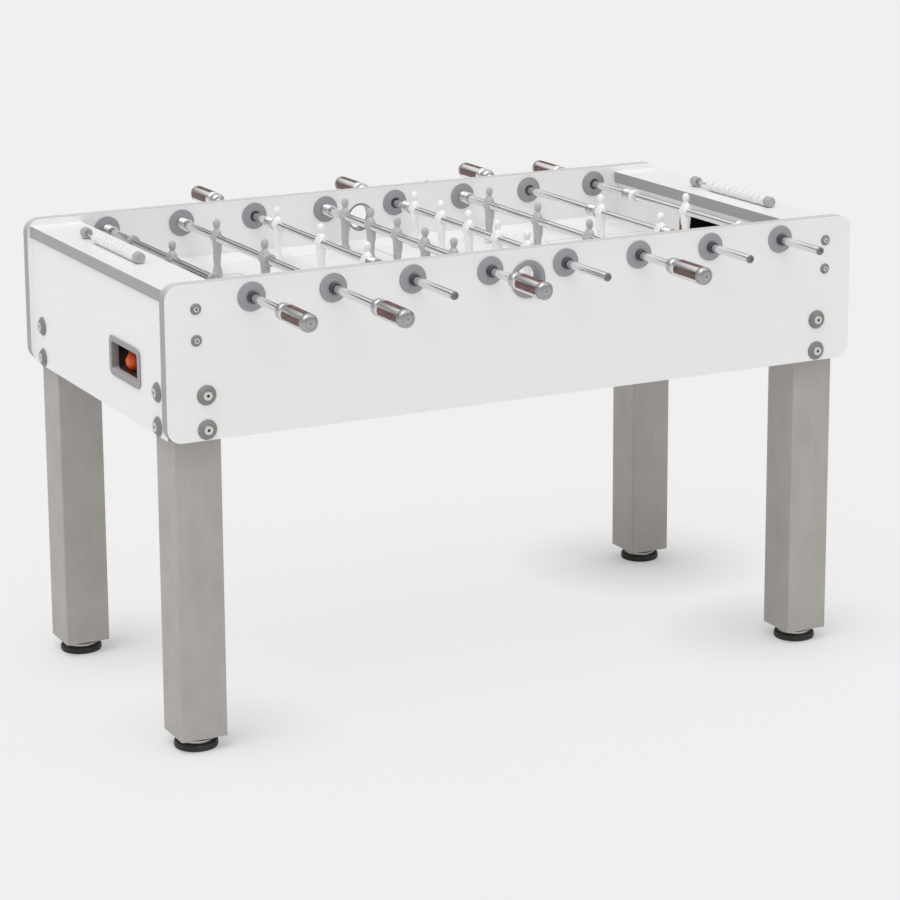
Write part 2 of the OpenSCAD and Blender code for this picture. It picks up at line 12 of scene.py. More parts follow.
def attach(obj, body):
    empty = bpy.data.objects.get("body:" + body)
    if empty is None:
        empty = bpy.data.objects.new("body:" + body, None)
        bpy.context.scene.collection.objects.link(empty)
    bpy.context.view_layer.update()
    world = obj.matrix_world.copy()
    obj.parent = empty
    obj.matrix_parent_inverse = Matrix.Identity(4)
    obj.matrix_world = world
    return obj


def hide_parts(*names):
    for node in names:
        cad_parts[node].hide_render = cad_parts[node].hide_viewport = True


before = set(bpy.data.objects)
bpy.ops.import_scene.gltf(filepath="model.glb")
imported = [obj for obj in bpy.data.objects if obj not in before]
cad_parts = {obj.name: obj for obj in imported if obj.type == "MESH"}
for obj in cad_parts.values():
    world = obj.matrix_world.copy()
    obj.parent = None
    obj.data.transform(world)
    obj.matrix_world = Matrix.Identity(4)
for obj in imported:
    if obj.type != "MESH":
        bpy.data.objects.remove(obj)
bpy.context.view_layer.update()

log = logging.getLogger("foosball")
logging.basicConfig(level=logging.INFO, format="%(message)s")

Colour = tuple[float, float, float]
Point = tuple[float, float, float]
Piece = bpy.types.Object
Material = bpy.types.Material

WHITE_BOARD: Colour = (0.875, 0.872, 0.867)
PLAIN: Point = (1, 1, 1)  # a grain that runs no way in particular
ROD_R = 0.008  # radius of the rods
PLAYER_HALF = 0.0135  # half a player's width along the rod
SPRING_L = 0.030  # length of a bumper spring
HELD_L = 0.110  # how much of the rod the handle covers
EDGE_ON = 0.6  # a face is a board's edge where its normal has less than this along the thickness


def mm(*values: float) -> tuple[float, ...]:
    """Lengths in millimetres as metres."""
    return tuple(v * 0.001 for v in values)


class Team(Enum):
    """The two sides that play."""

    GREY = "grey"
    WHITE = "white"


class Side(Enum):
    """The two long sides of the table, by the sign of Y."""

    NEAR = -1
    FAR = 1


# ---------------------------------------------------------------- shader formulas


class Signal:
    """One output of a shader node, so that a finish can be written as a formula."""

    def __init__(self, graph: "Graph", socket: bpy.types.NodeSocket) -> None:
        """Wraps a socket.

        Args:
            graph: The node tree that the socket is in.
            socket: The output to go on from.
        """
        self.graph = graph
        self.socket = socket

    def _math(self, operation: str, other: "Signal | float" = 0.0, flip: bool = False) -> "Signal":
        """A Math node on this signal and another value, in the other order if flip."""
        first, second = (other, self) if flip else (self, other)
        return self.graph.node("Math", {"operation": operation}, {0: first, 1: second})

    def __add__(self, other: "Signal | float") -> "Signal":
        """self + other."""
        return self._math("ADD", other)

    def __sub__(self, other: "Signal | float") -> "Signal":
        """self - other."""
        return self._math("SUBTRACT", other)

    def __rsub__(self, other: float) -> "Signal":
        """other - self."""
        return self._math("SUBTRACT", other, flip=True)

    def __mul__(self, other: "Signal | float") -> "Signal":
        """self * other."""
        return self._math("MULTIPLY", other)

    __radd__, __rmul__ = __add__, __mul__

    def __abs__(self) -> "Signal":
        """The size of self without its sign."""
        return self._math("ABSOLUTE")

    def __gt__(self, other: "Signal | float") -> "Signal":
        """1 where self is over other, else 0."""
        return self._math("GREATER_THAN", other)

    def __lt__(self, other: "Signal | float") -> "Signal":
        """1 where self is under other, else 0."""
        return self._math("LESS_THAN", other)

    def __or__(self, other: "Signal") -> "Signal":
        """The larger of two masks."""
        return self._math("MAXIMUM", other)

    def __and__(self, other: "Signal") -> "Signal":
        """The smaller of two masks."""
        return self._math("MINIMUM", other)

    def root(self) -> "Signal":
        """The square root of self."""
        return self._math("SQRT")

    def wave(self) -> "Signal":
        """The sine of self, in radians."""
        return self._math("SINE")

    def ramp(self, low: float, high: float) -> "Signal":
        """0 below low and 1 above high, with a straight rise between."""
        return self.graph.node("MapRange", {"clamp": True}, {0: self, 1: low, 2: high, 3: 0.0, 4: 1.0})


def tint(colour: Colour, factor: float) -> Colour:
    """A colour made lighter or darker by a factor."""
    return tuple(min(1.0, c * factor) for c in colour)


class Graph:
    """A node tree under construction."""

    def __init__(self, tree: bpy.types.NodeTree) -> None:
        """Empties a tree, to fill it anew."""
        self.tree = tree
        tree.nodes.clear()

    def add(self, kind: str, settings: dict, inputs: dict) -> bpy.types.Node:
        """Adds a node.

        Args:
            kind: The node's type, without ShaderNode.
            settings: Its own settings, set first, with a ramp's stops as (place, tone of grey).
            inputs: A value or a signal for each of its sockets, by number or name.

        Returns:
            The node.
        """
        made = self.tree.nodes.new(f"ShaderNode{kind}")
        for name, value in settings.items():
            if name == "stops":
                for place, _ in value[1:-1]:
                    made.color_ramp.elements.new(place)
                for stop, (_, tone) in zip(made.color_ramp.elements, value):
                    stop.color = (tone, tone, tone, 1)
            else:
                setattr(made, name, value)
        for key, value in inputs.items():
            self.feed(made.inputs[key], value)
        return made

    def node(self, kind: str, settings: dict, inputs: dict, output: int | str = 0) -> Signal:
        """Adds a node, as add does, and gives the signal of one of its outputs."""
        return Signal(self, self.add(kind, settings, inputs).outputs[output])

    def feed(self, socket: bpy.types.NodeSocket, value: "Signal | float | Sequence[float]") -> None:
        """Links a signal to a socket, or writes a plain value on it.

        Args:
            socket: The input to fill.
            value: What goes on it, a colour with or without its alpha.
        """
        if isinstance(value, Signal):
            self.tree.links.new(value.socket, socket)
        elif isinstance(value, (tuple, list)) and socket.type == "RGBA":
            socket.default_value = (*value, 1.0)[:4]
        else:
            socket.default_value = value

    def coordinates(self, kind: str) -> tuple[Signal, Signal, Signal]:
        """X, Y and Z of one of the texture coordinates."""
        split = self.add("SeparateXYZ", {}, {0: self.node("TexCoord", {}, {}, kind)})
        return tuple(Signal(self, output) for output in split.outputs)

    def ray(self, *kinds: str) -> Signal:
        """1 for rays of these kinds, else 0.

        Args:
            kinds: The kinds of ray, such as Camera.

        Returns:
            The mask.
        """
        mask, *others = (self.node("LightPath", {}, {}, f"Is {kind} Ray") for kind in kinds)
        for other in others:
            mask = mask | other
        return mask


class Paint(Graph):
    """A material under construction, round one principled shader."""

    def __init__(self, name: str) -> None:
        """Starts an empty material.

        Args:
            name: What the material is called.
        """
        self.material = bpy.data.materials.new(name)
        self.material.use_nodes = True
        super().__init__(self.material.node_tree)
        self.shader = self.add("BsdfPrincipled", {}, {})
        self.output = self.add("OutputMaterial", {}, {0: Signal(self, self.shader.outputs[0])})

    def set(self, **sockets: "Signal | float | Sequence[float]") -> "Paint":
        """Sets the shader's sockets, which are named with _ for a space.

        Args:
            sockets: A value or a signal for each.

        Returns:
            The same paint, to go on with.
        """
        for name, value in sockets.items():
            self.feed(self.shader.inputs[name.replace("_", " ")], value)
        return self

    def place(self) -> tuple[Signal, Signal, Signal]:
        """X, Y and Z of the surface, in metres in the table's own frame."""
        return self.coordinates("Object")

    def facing(self) -> tuple[Signal, Signal, Signal]:
        """X, Y and Z of the surface's normal, in the table's own frame."""
        return self.coordinates("Normal")

    def noise(self, size: float, detail: float, stretch: Point = PLAIN, rough: float = 0.55) -> Signal:
        """Soft random cloud from 0 to 1.

        Args:
            size: Width of its largest blobs, in metres.
            detail: How many finer layers lie over them.
            stretch: How much longer the blobs are along each axis.
            rough: How strong the finer layers are.

        Returns:
            The noise's value.
        """
        where = self.node("TexCoord", {}, {}, "Object")
        scale = tuple(1 / (size * s) for s in stretch)
        scaled = self.node("Mapping", {}, {"Vector": where, "Scale": scale})
        return self.node("TexNoise", {}, {"Vector": scaled, "Scale": 1.0, "Detail": detail, "Roughness": rough})

    def mix(self, factor: Signal, first: "Signal | Colour", second: "Signal | Colour") -> Signal:
        """A colour from first, where factor is 0, to second, where it is 1."""
        return self.node("Mix", {"data_type": "RGBA"}, {0: factor, 6: first, 7: second}, 2)

    def bump(self, height: Signal, depth: float, strength: float) -> "Paint":
        """Raises the surface by height times depth, in metres, and by strength from 0 to 1."""
        raised = self.node("Bump", {}, {"Height": height, "Distance": depth, "Strength": strength}, "Normal")
        return self.set(Normal=raised)


@dataclass(frozen=True)
class Finish:
    """What a surface is made of."""

    name: str

    def paint(self) -> Paint:
        """An unfinished material of this name."""
        return Paint(self.name)

    def make(self) -> Material:
        """The finished material."""
        raise NotImplementedError


@dataclass(frozen=True)
class Laminate(Finish):
    """White melamine board with a grey band along its edges, with painted light making the band paler where it looks
    up.
    """

    face_axis: int
    white: Colour = WHITE_BOARD
    band: Colour = (0.345, 0.335, 0.325)
    # painted light: the band's tone where it faces up, paler as if lit from above
    lit_band: Colour = (0.60, 0.595, 0.585)
    grain: float = 0.0009

    def make(self) -> Material:
        """The face is where the normal follows the board's thickness; the rest is edge band.

        Returns:
            The finished material.
        """
        p = self.paint()
        facing = p.facing()
        edge = abs(facing[self.face_axis]) < EDGE_ON
        cloud = p.noise(0.35, 4)
        grain = p.noise(self.grain, 2)
        face = p.mix(cloud, tint(self.white, 0.975), tint(self.white, 1.02))
        # painted light: the band's tone follows mostly how far its normal looks up, pale on top as if lit from above,
        # over a little real tone noise
        shade = p.noise(0.012, 3, (6, 6, 6)) * 0.2 + facing[2].ramp(0.2, 0.9) * 0.8
        brushed = p.mix(shade, tint(self.band, 0.94), tint(self.lit_band, 1.06))
        p.set(Base_Color=p.mix(edge, face, brushed), Roughness=0.30 + grain * 0.10 + edge * 0.08, IOR=1.5)
        return p.bump(grain, 0.00006, 0.5).material


@dataclass(frozen=True)
class Pitch(Finish):
    """The playing surface: white laminate with thin grey lines."""

    ground: Colour = (0.855, 0.855, 0.850)
    line: Colour = (0.50, 0.50, 0.50)
    line_w: float = 0.004
    spot_r: float = 0.008
    half_l: float = 0.622
    centre_r: float = 0.105
    box_l: float = 0.275
    box_w: float = 0.185
    goal_l: float = 0.130
    goal_w: float = 0.115

    def box(self, x: Signal, y: Signal, length: float, half_w: float) -> Signal:
        """The outline of a box in front of both goals.

        Args:
            x: The place along the pitch.
            y: The place across it.
            length: How far the box comes out from the goal line.
            half_w: Half its width.

        Returns:
            1 on the outline, else 0.
        """
        from_end = self.half_l - abs(x)
        half = self.line_w / 2
        cross = (abs(from_end - length) < half) & (abs(y) < half_w + half)
        along = (abs(abs(y) - half_w) < half) & (from_end < length)
        return cross | along

    def make(self) -> Material:
        """Halfway line, centre circle and spot, goal boxes and penalty boxes.

        Returns:
            The finished material.
        """
        p = self.paint()
        x, y, _ = p.place()
        half = self.line_w / 2
        reach = (x * x + y * y).root()
        lines = (abs(x) < half) | (abs(reach - self.centre_r) < half) | (reach < self.spot_r)
        lines = lines | self.box(x, y, self.box_l, self.box_w) | self.box(x, y, self.goal_l, self.goal_w)
        cloud = p.noise(0.2, 4)
        base = p.mix(cloud, tint(self.ground, 0.97), self.ground)
        scuff = p.noise(0.03, 5, (1, 5, 1)).ramp(0.55, 0.8)
        p.set(Base_Color=p.mix(lines, base, self.line), Roughness=0.40 + scuff * 0.10, IOR=1.45)
        return p.bump(p.noise(0.0012, 2), 0.00005, 0.4).material


@dataclass(frozen=True)
class GoalWall(Finish):
    """White laminate whose cut-out shows the raw brown fibreboard."""

    white: Colour = WHITE_BOARD
    core: Colour = (0.36, 0.20, 0.105)
    mouth_half: float = 0.100

    def make(self) -> Material:
        """The core shows on the cut edges of the goal mouth.

        Returns:
            The finished material.
        """
        p = self.paint()
        raw = (abs(p.facing()[0]) < EDGE_ON) & (abs(p.place()[1]) < self.mouth_half)
        fibres = p.noise(0.0016, 4, (3, 1, 1))
        core = p.mix(fibres, tint(self.core, 0.7), tint(self.core, 1.25))
        grain = p.noise(0.0009, 2)
        face = p.mix(p.noise(0.2, 3), tint(self.white, 0.975), self.white)
        p.set(Base_Color=p.mix(raw, face, core), Roughness=0.32 + raw * 0.4)
        return p.bump(grain * (1 - raw) + fibres * raw, 0.00012, 0.5).material


@dataclass(frozen=True)
class BrushedLaminate(Finish):
    """Warm silver grey with a fine upright brushing and a slight cloudiness."""

    dark: Colour = (0.345, 0.322, 0.302)
    light: Colour = (0.500, 0.474, 0.450)

    def make(self) -> Material:
        """Hair-fine streaks run up the leg, over broader clouds.

        Returns:
            The finished material.
        """
        p = self.paint()
        hair = p.noise(0.0007, 2, (1, 1, 160))
        streak = p.noise(0.006, 3, (1, 1, 40))
        cloud = p.noise(0.055, 5, (1, 1, 1.6), 0.62)
        tone = hair * 0.30 + streak * 0.25 + cloud.ramp(0.28, 0.74) * 0.45
        p.set(Base_Color=p.mix(tone, self.dark, self.light), Metallic=0.25, Roughness=0.38 + hair * 0.14)
        return p.bump(hair, 0.00008, 0.5).material


@dataclass(frozen=True)
class Moulding(Finish):
    """Moulded plastic with a fine spark-eroded grain."""

    colour: Colour
    rough: float
    grain: float = 0.0007
    wear: float = 0.05
    soft: float = 0.0

    def wandering(self, p: Paint, cloud: Signal) -> Signal:
        """The colour, a little darker or lighter by a cloud."""
        return p.mix(cloud, tint(self.colour, 1 - self.wear), tint(self.colour, 1 + self.wear))

    def make(self) -> Material:
        """Colour wanders a little, and its roughness with it.

        Returns:
            The finished material.
        """
        p = self.paint()
        cloud = p.noise(0.03, 4)
        p.set(Base_Color=self.wandering(p, cloud), Roughness=self.rough - 0.05 + cloud * 0.10, IOR=1.48)
        p.set(Subsurface_Weight=self.soft, Subsurface_Scale=0.003)
        return p.bump(p.noise(self.grain, 2), 0.00005, 0.5).material


@dataclass(frozen=True)
class Bright(Finish):
    """Polished or plated metal, with hair lines that follow its making."""

    colour: Colour = (0.80, 0.80, 0.81)
    rough: float = 0.13
    stretch: Point = (1, 40, 1)
    hair: float = 0.0004

    def make(self) -> Material:
        """Hair lines and faint finger marks change how sharply it reflects.

        Returns:
            The finished material.
        """
        p = self.paint()
        hair = p.noise(self.hair, 2, self.stretch)
        marks = p.noise(0.04, 3).ramp(0.45, 0.75)
        tone = p.mix(marks, self.colour, tint(self.colour, 0.95))
        p.set(Base_Color=tone, Metallic=1.0, Roughness=self.rough + hair * 0.03 + marks * 0.03)
        return p.bump(hair, 0.000004, 0.2).material


@dataclass(frozen=True)
class ReturnTrim(Moulding):
    """Grey moulding round the ball return, with painted light making its upward-facing ledge paler."""

    painted_light_shelf: Colour = (0.56, 0.56, 0.59)

    def make(self) -> Material:
        """Painted light makes it paler where the surface looks up.

        Returns:
            The finished material.
        """
        p = self.paint()
        # painted light: faces that look up are mixed towards a paler grey, as if lit from above
        up = p.facing()[2].ramp(0.5, 0.95)
        tone = p.mix(up, self.colour, self.painted_light_shelf)
        p.set(Base_Color=tone, Roughness=self.rough - up * 0.08 + p.noise(0.03, 4) * 0.08)
        return p.bump(p.noise(self.grain, 2), 0.00004, 0.4).material


@dataclass(frozen=True)
class ServeRing(Moulding):
    """Grey moulding on the near side, and a bright metal ring on the far side."""

    metal: Colour = (0.30, 0.30, 0.31)

    def make(self) -> Material:
        """Which it is goes by the side of the table.

        Returns:
            The finished material.
        """
        p = self.paint()
        bright = p.place()[1] > 0
        cloud = p.noise(0.03, 4)
        p.set(Base_Color=p.mix(bright, self.wandering(p, cloud), self.metal), Metallic=bright)
        p.set(Roughness=self.rough + cloud * 0.08 - bright * 0.22)
        return p.bump(p.noise(self.grain, 2), 0.00004, 0.4).material


@dataclass(frozen=True)
class Foot(Finish):
    """Black rubber pad below a bright steel ring and stem."""

    ring_from: float = 0.0148
    rubber: Colour = (0.020, 0.017, 0.015)
    dusty: Colour = (0.045, 0.040, 0.036)
    steel: Colour = (0.66, 0.65, 0.63)

    def make(self) -> Material:
        """The pad reaches up to the ring; above it everything is steel.

        Returns:
            The finished material.
        """
        p = self.paint()
        steel = p.place()[2] > self.ring_from
        dust = p.noise(0.012, 5).ramp(0.5, 0.8)
        p.set(Base_Color=p.mix(steel, p.mix(dust, self.rubber, self.dusty), self.steel), Metallic=steel)
        p.set(Roughness=0.55 - steel * 0.33 + dust * 0.08)
        return p.bump(p.noise(0.0008, 3), 0.00010, 0.5).material


@dataclass(frozen=True)
class Wood(Finish):
    """Sawn softwood or raw board that the laminate doesn't cover."""

    light: Colour = (0.60, 0.44, 0.27)
    dark: Colour = (0.40, 0.27, 0.15)

    def make(self) -> Material:
        """Growth lines run along the table.

        Returns:
            The finished material.
        """
        p = self.paint()
        _, y, z = p.place()
        warp = p.noise(0.05, 3, (12, 1, 1))
        rings = ((y * 260 + z * 180 + warp * 9).wave() + 1) * 0.5
        fibre = p.noise(0.0008, 3, (40, 1, 1))
        p.set(Base_Color=p.mix(rings * 0.7 + fibre * 0.3, self.light, self.dark), Roughness=0.7 + fibre * 0.1)
        return p.bump(fibre, 0.0002, 0.6).material


@dataclass(frozen=True)
class Veneer(Finish):
    """Oiled brown wood of the stripes on the handles."""

    light: Colour = (0.235, 0.112, 0.092)
    dark: Colour = (0.055, 0.028, 0.024)

    def make(self) -> Material:
        """Grain and pores follow the handle's length.

        Returns:
            The finished material.
        """
        p = self.paint()
        grain = p.noise(0.0016, 4, (1, 14, 1), 0.6)
        pores = p.noise(0.0006, 2, (1, 10, 1)).ramp(0.56, 0.70)
        tone = p.mix(grain.ramp(0.34, 0.58), self.light, self.dark)
        p.set(Base_Color=p.mix(pores * 0.6, tone, tint(self.dark, 0.5)), Roughness=0.42 + pores * 0.2)
        return p.bump(grain - pores * 0.5, 0.00012, 0.6).material


# ---------------------------------------------------------------- modelling moves


def shown(name: str, data: bpy.types.ID) -> Piece:
    """A new object of the scene, with its mesh, lamp or camera data.

    Args:
        name: The object's name.
        data: What it shows.

    Returns:
        The object.
    """
    made = bpy.data.objects.new(name, data)
    bpy.context.scene.collection.objects.link(made)
    return made


class Bench:
    """The modelling moves that the pieces share."""

    @staticmethod
    def clear() -> None:
        """Leaves edit mode and deselects everything."""
        if bpy.context.mode != "OBJECT":
            bpy.ops.object.mode_set(mode="OBJECT")
        bpy.ops.object.select_all(action="DESELECT")

    @staticmethod
    def pick(obj: Piece) -> Piece:
        """Selects one object alone and makes it active.

        Args:
            obj: The object.

        Returns:
            The same object.
        """
        Bench.clear()
        obj.select_set(True)
        bpy.context.view_layer.objects.active = obj
        return obj

    @staticmethod
    def edit(obj: Piece) -> None:
        """Opens an object in edit mode with all of it selected.

        Args:
            obj: The object.
        """
        Bench.pick(obj)
        bpy.ops.object.mode_set(mode="EDIT")
        bpy.ops.mesh.select_all(action="SELECT")

    @staticmethod
    def close(obj: Piece, angle: float = 35.0) -> Piece:
        """Merges doubles, turns the faces outwards and smooths shallow edges.

        Args:
            obj: The piece to finish.
            angle: Edges that turn by less than this many degrees look smooth.

        Returns:
            The same object, in object mode.
        """
        Bench.edit(obj)
        bpy.ops.mesh.remove_doubles(threshold=1e-6)
        bpy.ops.mesh.normals_make_consistent(inside=False)
        Bench.pick(obj)
        bpy.ops.object.shade_smooth_by_angle(angle=math.radians(angle))
        return obj

    @staticmethod
    def settle(obj: Piece) -> Piece:
        """Writes the object's place, turn and scale into its mesh.

        Args:
            obj: The object.

        Returns:
            The same object.
        """
        Bench.pick(obj)
        bpy.ops.object.transform_apply(location=True, rotation=True, scale=True)
        return obj

    @staticmethod
    def rotate(obj: Piece, angle: float, axis: str) -> Piece:
        """Turns a piece's mesh round one of the axes, by an angle in radians."""
        obj.data.transform(Matrix.Rotation(angle, 4, axis))
        return obj

    @staticmethod
    def turned(name: str, profile: Sequence[tuple[float, float]], sides: int, bored: bool = False) -> Piece:
        """Turns a piece about Z, as on a lathe, by extruding and scaling a ring.

        Args:
            name: The piece's name.
            profile: Its stations as (radius, height), in metres.
            sides: How many sides a ring has.
            bored: Whether the profile comes back to its start, round a bore.

        Returns:
            The new object, standing on the origin.
        """
        stations = list(profile) + ([profile[0]] if bored else [])
        radius, height = stations[0]
        Bench.clear()
        bpy.ops.mesh.primitive_circle_add(
            vertices=sides, radius=radius, location=(0, 0, height), fill_type="NOTHING" if bored else "NGON"
        )
        obj = bpy.context.object
        obj.name = name
        Bench.settle(obj)
        Bench.edit(obj)
        for next_radius, next_height in stations[1:]:
            bpy.ops.mesh.extrude_region_move(TRANSFORM_OT_translate={"value": (0, 0, next_height - height)})
            grow = next_radius / radius
            if abs(grow - 1) > 1e-9:
                bpy.ops.transform.resize(value=(grow, grow, 1), center_override=(0, 0, next_height))
            radius, height = next_radius, next_height
        return Bench.close(obj)

    @staticmethod
    def lofted(name: str, sections: Sequence[Sequence[float]], sides: int = 20) -> Piece:
        """Stretches a round section upwards through ovals.

        Args:
            name: The piece's name.
            sections: Ovals as (half depth along X, half width along Y, X, Y, Z), in metres.
            sides: How many sides an oval has.

        Returns:
            The new object.
        """
        rx, ry, x, y, z = sections[0]
        Bench.clear()
        bpy.ops.mesh.primitive_circle_add(vertices=sides, radius=1, location=(0, 0, 0), fill_type="NGON")
        obj = bpy.context.object
        obj.name = name
        Bench.edit(obj)
        bpy.ops.transform.resize(value=(rx, ry, 1), center_override=(0, 0, 0))
        bpy.ops.transform.translate(value=(x, y, z))
        for section in sections[1:]:
            next_rx, next_ry, *centre = section
            step = tuple(there - here for there, here in zip(centre, (x, y, z)))
            bpy.ops.mesh.extrude_region_move(TRANSFORM_OT_translate={"value": step})
            bpy.ops.transform.resize(value=(next_rx / rx, next_ry / ry, 1), center_override=centre)
            rx, ry, x, y, z = section
        return Bench.close(obj)

    @staticmethod
    def modify(obj: Piece, kind: str, **settings: object) -> Piece:
        """Adds a modifier with its settings and applies it.

        Args:
            obj: The piece.
            kind: The modifier's type.
            settings: Its settings, by name.

        Returns:
            The same piece.
        """
        Bench.pick(obj)
        modifier = obj.modifiers.new(kind.lower(), kind)
        for name, value in settings.items():
            setattr(modifier, name, value)
        bpy.ops.object.modifier_apply(modifier=modifier.name)
        return obj

    @staticmethod
    def cut(obj: Piece, tool: Piece) -> Piece:
        """Takes the tool's shape out of obj and throws the tool away.

        Args:
            obj: The piece.
            tool: What is taken out of it.

        Returns:
            The piece that is left.
        """
        Bench.modify(obj, "BOOLEAN", operation="DIFFERENCE", solver="EXACT", object=tool)
        Bench.drop(tool)
        return obj

    @staticmethod
    def drop(obj: Piece) -> None:
        """Deletes an object with its mesh.

        Args:
            obj: The object.
        """
        mesh = obj.data
        bpy.data.objects.remove(obj)
        bpy.data.meshes.remove(mesh)

    @staticmethod
    def copy(obj: Piece, name: str, matrix: Matrix) -> Piece:
        """A copy with a mesh of its own, with its place in that mesh.

        Args:
            obj: What is copied.
            name: The copy's name.
            matrix: Where the copy goes.

        Returns:
            The copy.
        """
        twin = shown(name, obj.data.copy())
        twin.data.transform(matrix)
        return twin

    @staticmethod
    def join(name: str, parts: Sequence[Piece]) -> Piece:
        """Joins objects into one.

        Args:
            name: What it is called.
            parts: The objects, of which the first takes in the rest.

        Returns:
            The joined object.
        """
        Bench.clear()
        for part in parts:
            part.select_set(True)
        bpy.context.view_layer.objects.active = parts[0]
        if len(parts) > 1:
            bpy.ops.object.join()
        parts[0].name = name
        parts[0].data.name = name
        return parts[0]

    @staticmethod
    def spread(name: str, master: Piece, places: Sequence[Matrix], keep: bool = False) -> Piece:
        """Joins a copy of one piece at each of some places.

        Args:
            name: The new piece's name.
            master: What is copied, and thrown away after.
            places: Where the copies go.
            keep: Whether the master stays, for more copies.

        Returns:
            The new piece.
        """
        piece = Bench.join(name, [Bench.copy(master, name, place) for place in places])
        if not keep:
            Bench.drop(master)
        return piece


def along_y(x: float, y: float, z: float, way: int) -> Matrix:
    """The place of a piece turned about Z, laid along Y at a point, pointing towards +Y or -Y."""
    return Matrix.Translation((x, y, z)) @ Matrix.Rotation(math.radians(-90 if way > 0 else 90), 4, "X")


def along_x(x: float, y: float, z: float, way: int) -> Matrix:
    """The place of a piece turned about Z, laid along X at a point, pointing towards +X or -X."""
    return Matrix.Translation((x, y, z)) @ Matrix.Rotation(math.radians(90 if way > 0 else -90), 4, "Y")


def dress(obj: Piece, material: Material, slot: str) -> Piece:
    """Gives a piece its one material.

    Args:
        obj: The piece.
        material: What it is covered with.
        slot: The record's slot that it takes its finish from; not used.

    Returns:
        The same piece.
    """
    obj.data.materials.clear()
    obj.data.materials.append(material)
    return obj


# ---------------------------------------------------------------- finishes in use


def coat(finish: Finish) -> Material:
    """A finish as an entry of the palette, made when the palette is."""
    return field(default_factory=finish.make)


@dataclass
class Palette:
    """Every finish on the table, made once."""

    side_laminate: Material = coat(Laminate("side_laminate", 1))
    # painted light: a paler copy of the side laminate for the far panel, standing in for light bounced inside the
    # table
    painted_lit_far_laminate: Material = coat(Laminate("painted_lit_far_laminate", 1, white=(0.930, 0.928, 0.924)))
    end_laminate: Material = coat(Laminate("end_laminate", 0))
    board_laminate: Material = coat(Laminate("board_laminate", 2))
    ramp_laminate: Material = coat(Laminate("ramp_laminate", 2, band=WHITE_BOARD, lit_band=WHITE_BOARD))
    pitch: Material = coat(Pitch("pitch_laminate"))
    goal_wall: Material = coat(GoalWall("goal_wall_laminate"))
    leg: Material = coat(BrushedLaminate("brushed_leg"))
    flange: Material = coat(Moulding("bearing_moulding", (0.315, 0.315, 0.340), 0.38))
    trim: Material = coat(ReturnTrim("return_trim", (0.30, 0.30, 0.31), 0.36))
    dark: Material = coat(Moulding("dark_nylon", (0.055, 0.055, 0.062), 0.42, wear=0.12))
    liner: Material = coat(Moulding("black_lining", (0.012, 0.012, 0.012), 0.6, 0.0011, 0.2))
    tray: Material = coat(Moulding("tray_board", (0.060, 0.028, 0.015), 0.55, 0.0011, 0.2))
    grey_player: Material = coat(Moulding("grey_player", (0.48, 0.485, 0.472), 0.42, soft=0.05))
    white_player: Material = coat(Moulding("white_player", (0.93, 0.93, 0.94), 0.36, wear=0.015, soft=0.08))
    bead: Material = coat(Moulding("bead_plastic", (0.84, 0.84, 0.845), 0.28, wear=0.02, soft=0.05))
    knob: Material = coat(Moulding("counter_knob", (0.42, 0.42, 0.42), 0.40))
    ball: Material = coat(Moulding("ball_plastic", (0.84, 0.105, 0.012), 0.34, wear=0.10, soft=0.05))
    washer: Material = coat(Moulding("cup_washer", (0.225, 0.220, 0.215), 0.38, 0.0009, 0.25))
    chrome: Material = coat(Bright("chromed_tube"))
    spring: Material = coat(Bright("spring_wire", (0.74, 0.74, 0.74), 0.20, PLAIN))
    zinc: Material = coat(Bright("zinc_screw", (0.70, 0.67, 0.63), 0.34, PLAIN))
    grip: Material = coat(Bright("polished_grip", (0.82, 0.81, 0.80), 0.27))
    collar: Material = coat(Bright("handle_collar", (0.56, 0.57, 0.59), 0.30, PLAIN))
    plug: Material = coat(Moulding("rod_plug", (0.23, 0.23, 0.235), 0.35))
    cap: Material = coat(Bright("handle_cap", (0.42, 0.42, 0.43), 0.36, PLAIN))
    serve: Material = coat(ServeRing("serve_ring", (0.285, 0.285, 0.305), 0.32))
    foot: Material = coat(Foot("rubber_foot"))
    wood: Material = coat(Wood("bare_wood"))
    veneer: Material = coat(Veneer("handle_veneer"))

    def team(self, team: Team) -> tuple[Material, str]:
        """The finish and the slot of a team's players and stop rings."""
        grey = team is Team.GREY
        return (self.grey_player, "grey_team") if grey else (self.white_player, "white_team")


# ---------------------------------------------------------------- the table's parts


@dataclass
class Cabinet:
    """The carcass, pitch, goals, trays, legs and feet: CAD nodes that keep their own shape."""

    palette: Palette

    def build(self) -> None:
        """Gives each node that is shown as it is its finish."""
        p = self.palette
        finishes = {
            "near_side_panel": (p.side_laminate, "white_laminate"),
            "far_side_panel": (p.painted_lit_far_laminate, "white_laminate"),
            "end_panels": (p.end_laminate, "white_laminate"),
            "top_boards": (p.board_laminate, "white_laminate"),
            "playfield": (p.pitch, "pitch"),
            "side_ramps": (p.ramp_laminate, "white_laminate"),
            "goal_walls": (p.goal_wall, "white_laminate"),
            "goal_boxes": (p.liner, "black_liner"),
            "ball_trays": (p.tray, "tray"),
            "return_frames": (p.trim, "grey_trim"),
            "legs": (p.leg, "leg"),
            "levelling_feet": (p.foot, "foot"),
            "field_supports": (p.wood, "bare_wood"),
            "bearing_flanges": (p.flange, "flange"),
            "serve_cups": (p.serve, "chrome"),
            "balls": (p.ball, "ball"),
        }
        for name, (material, slot) in finishes.items():
            dress(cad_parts[name], material, slot)
            log.info("dressed %s with %s", name, material.name)


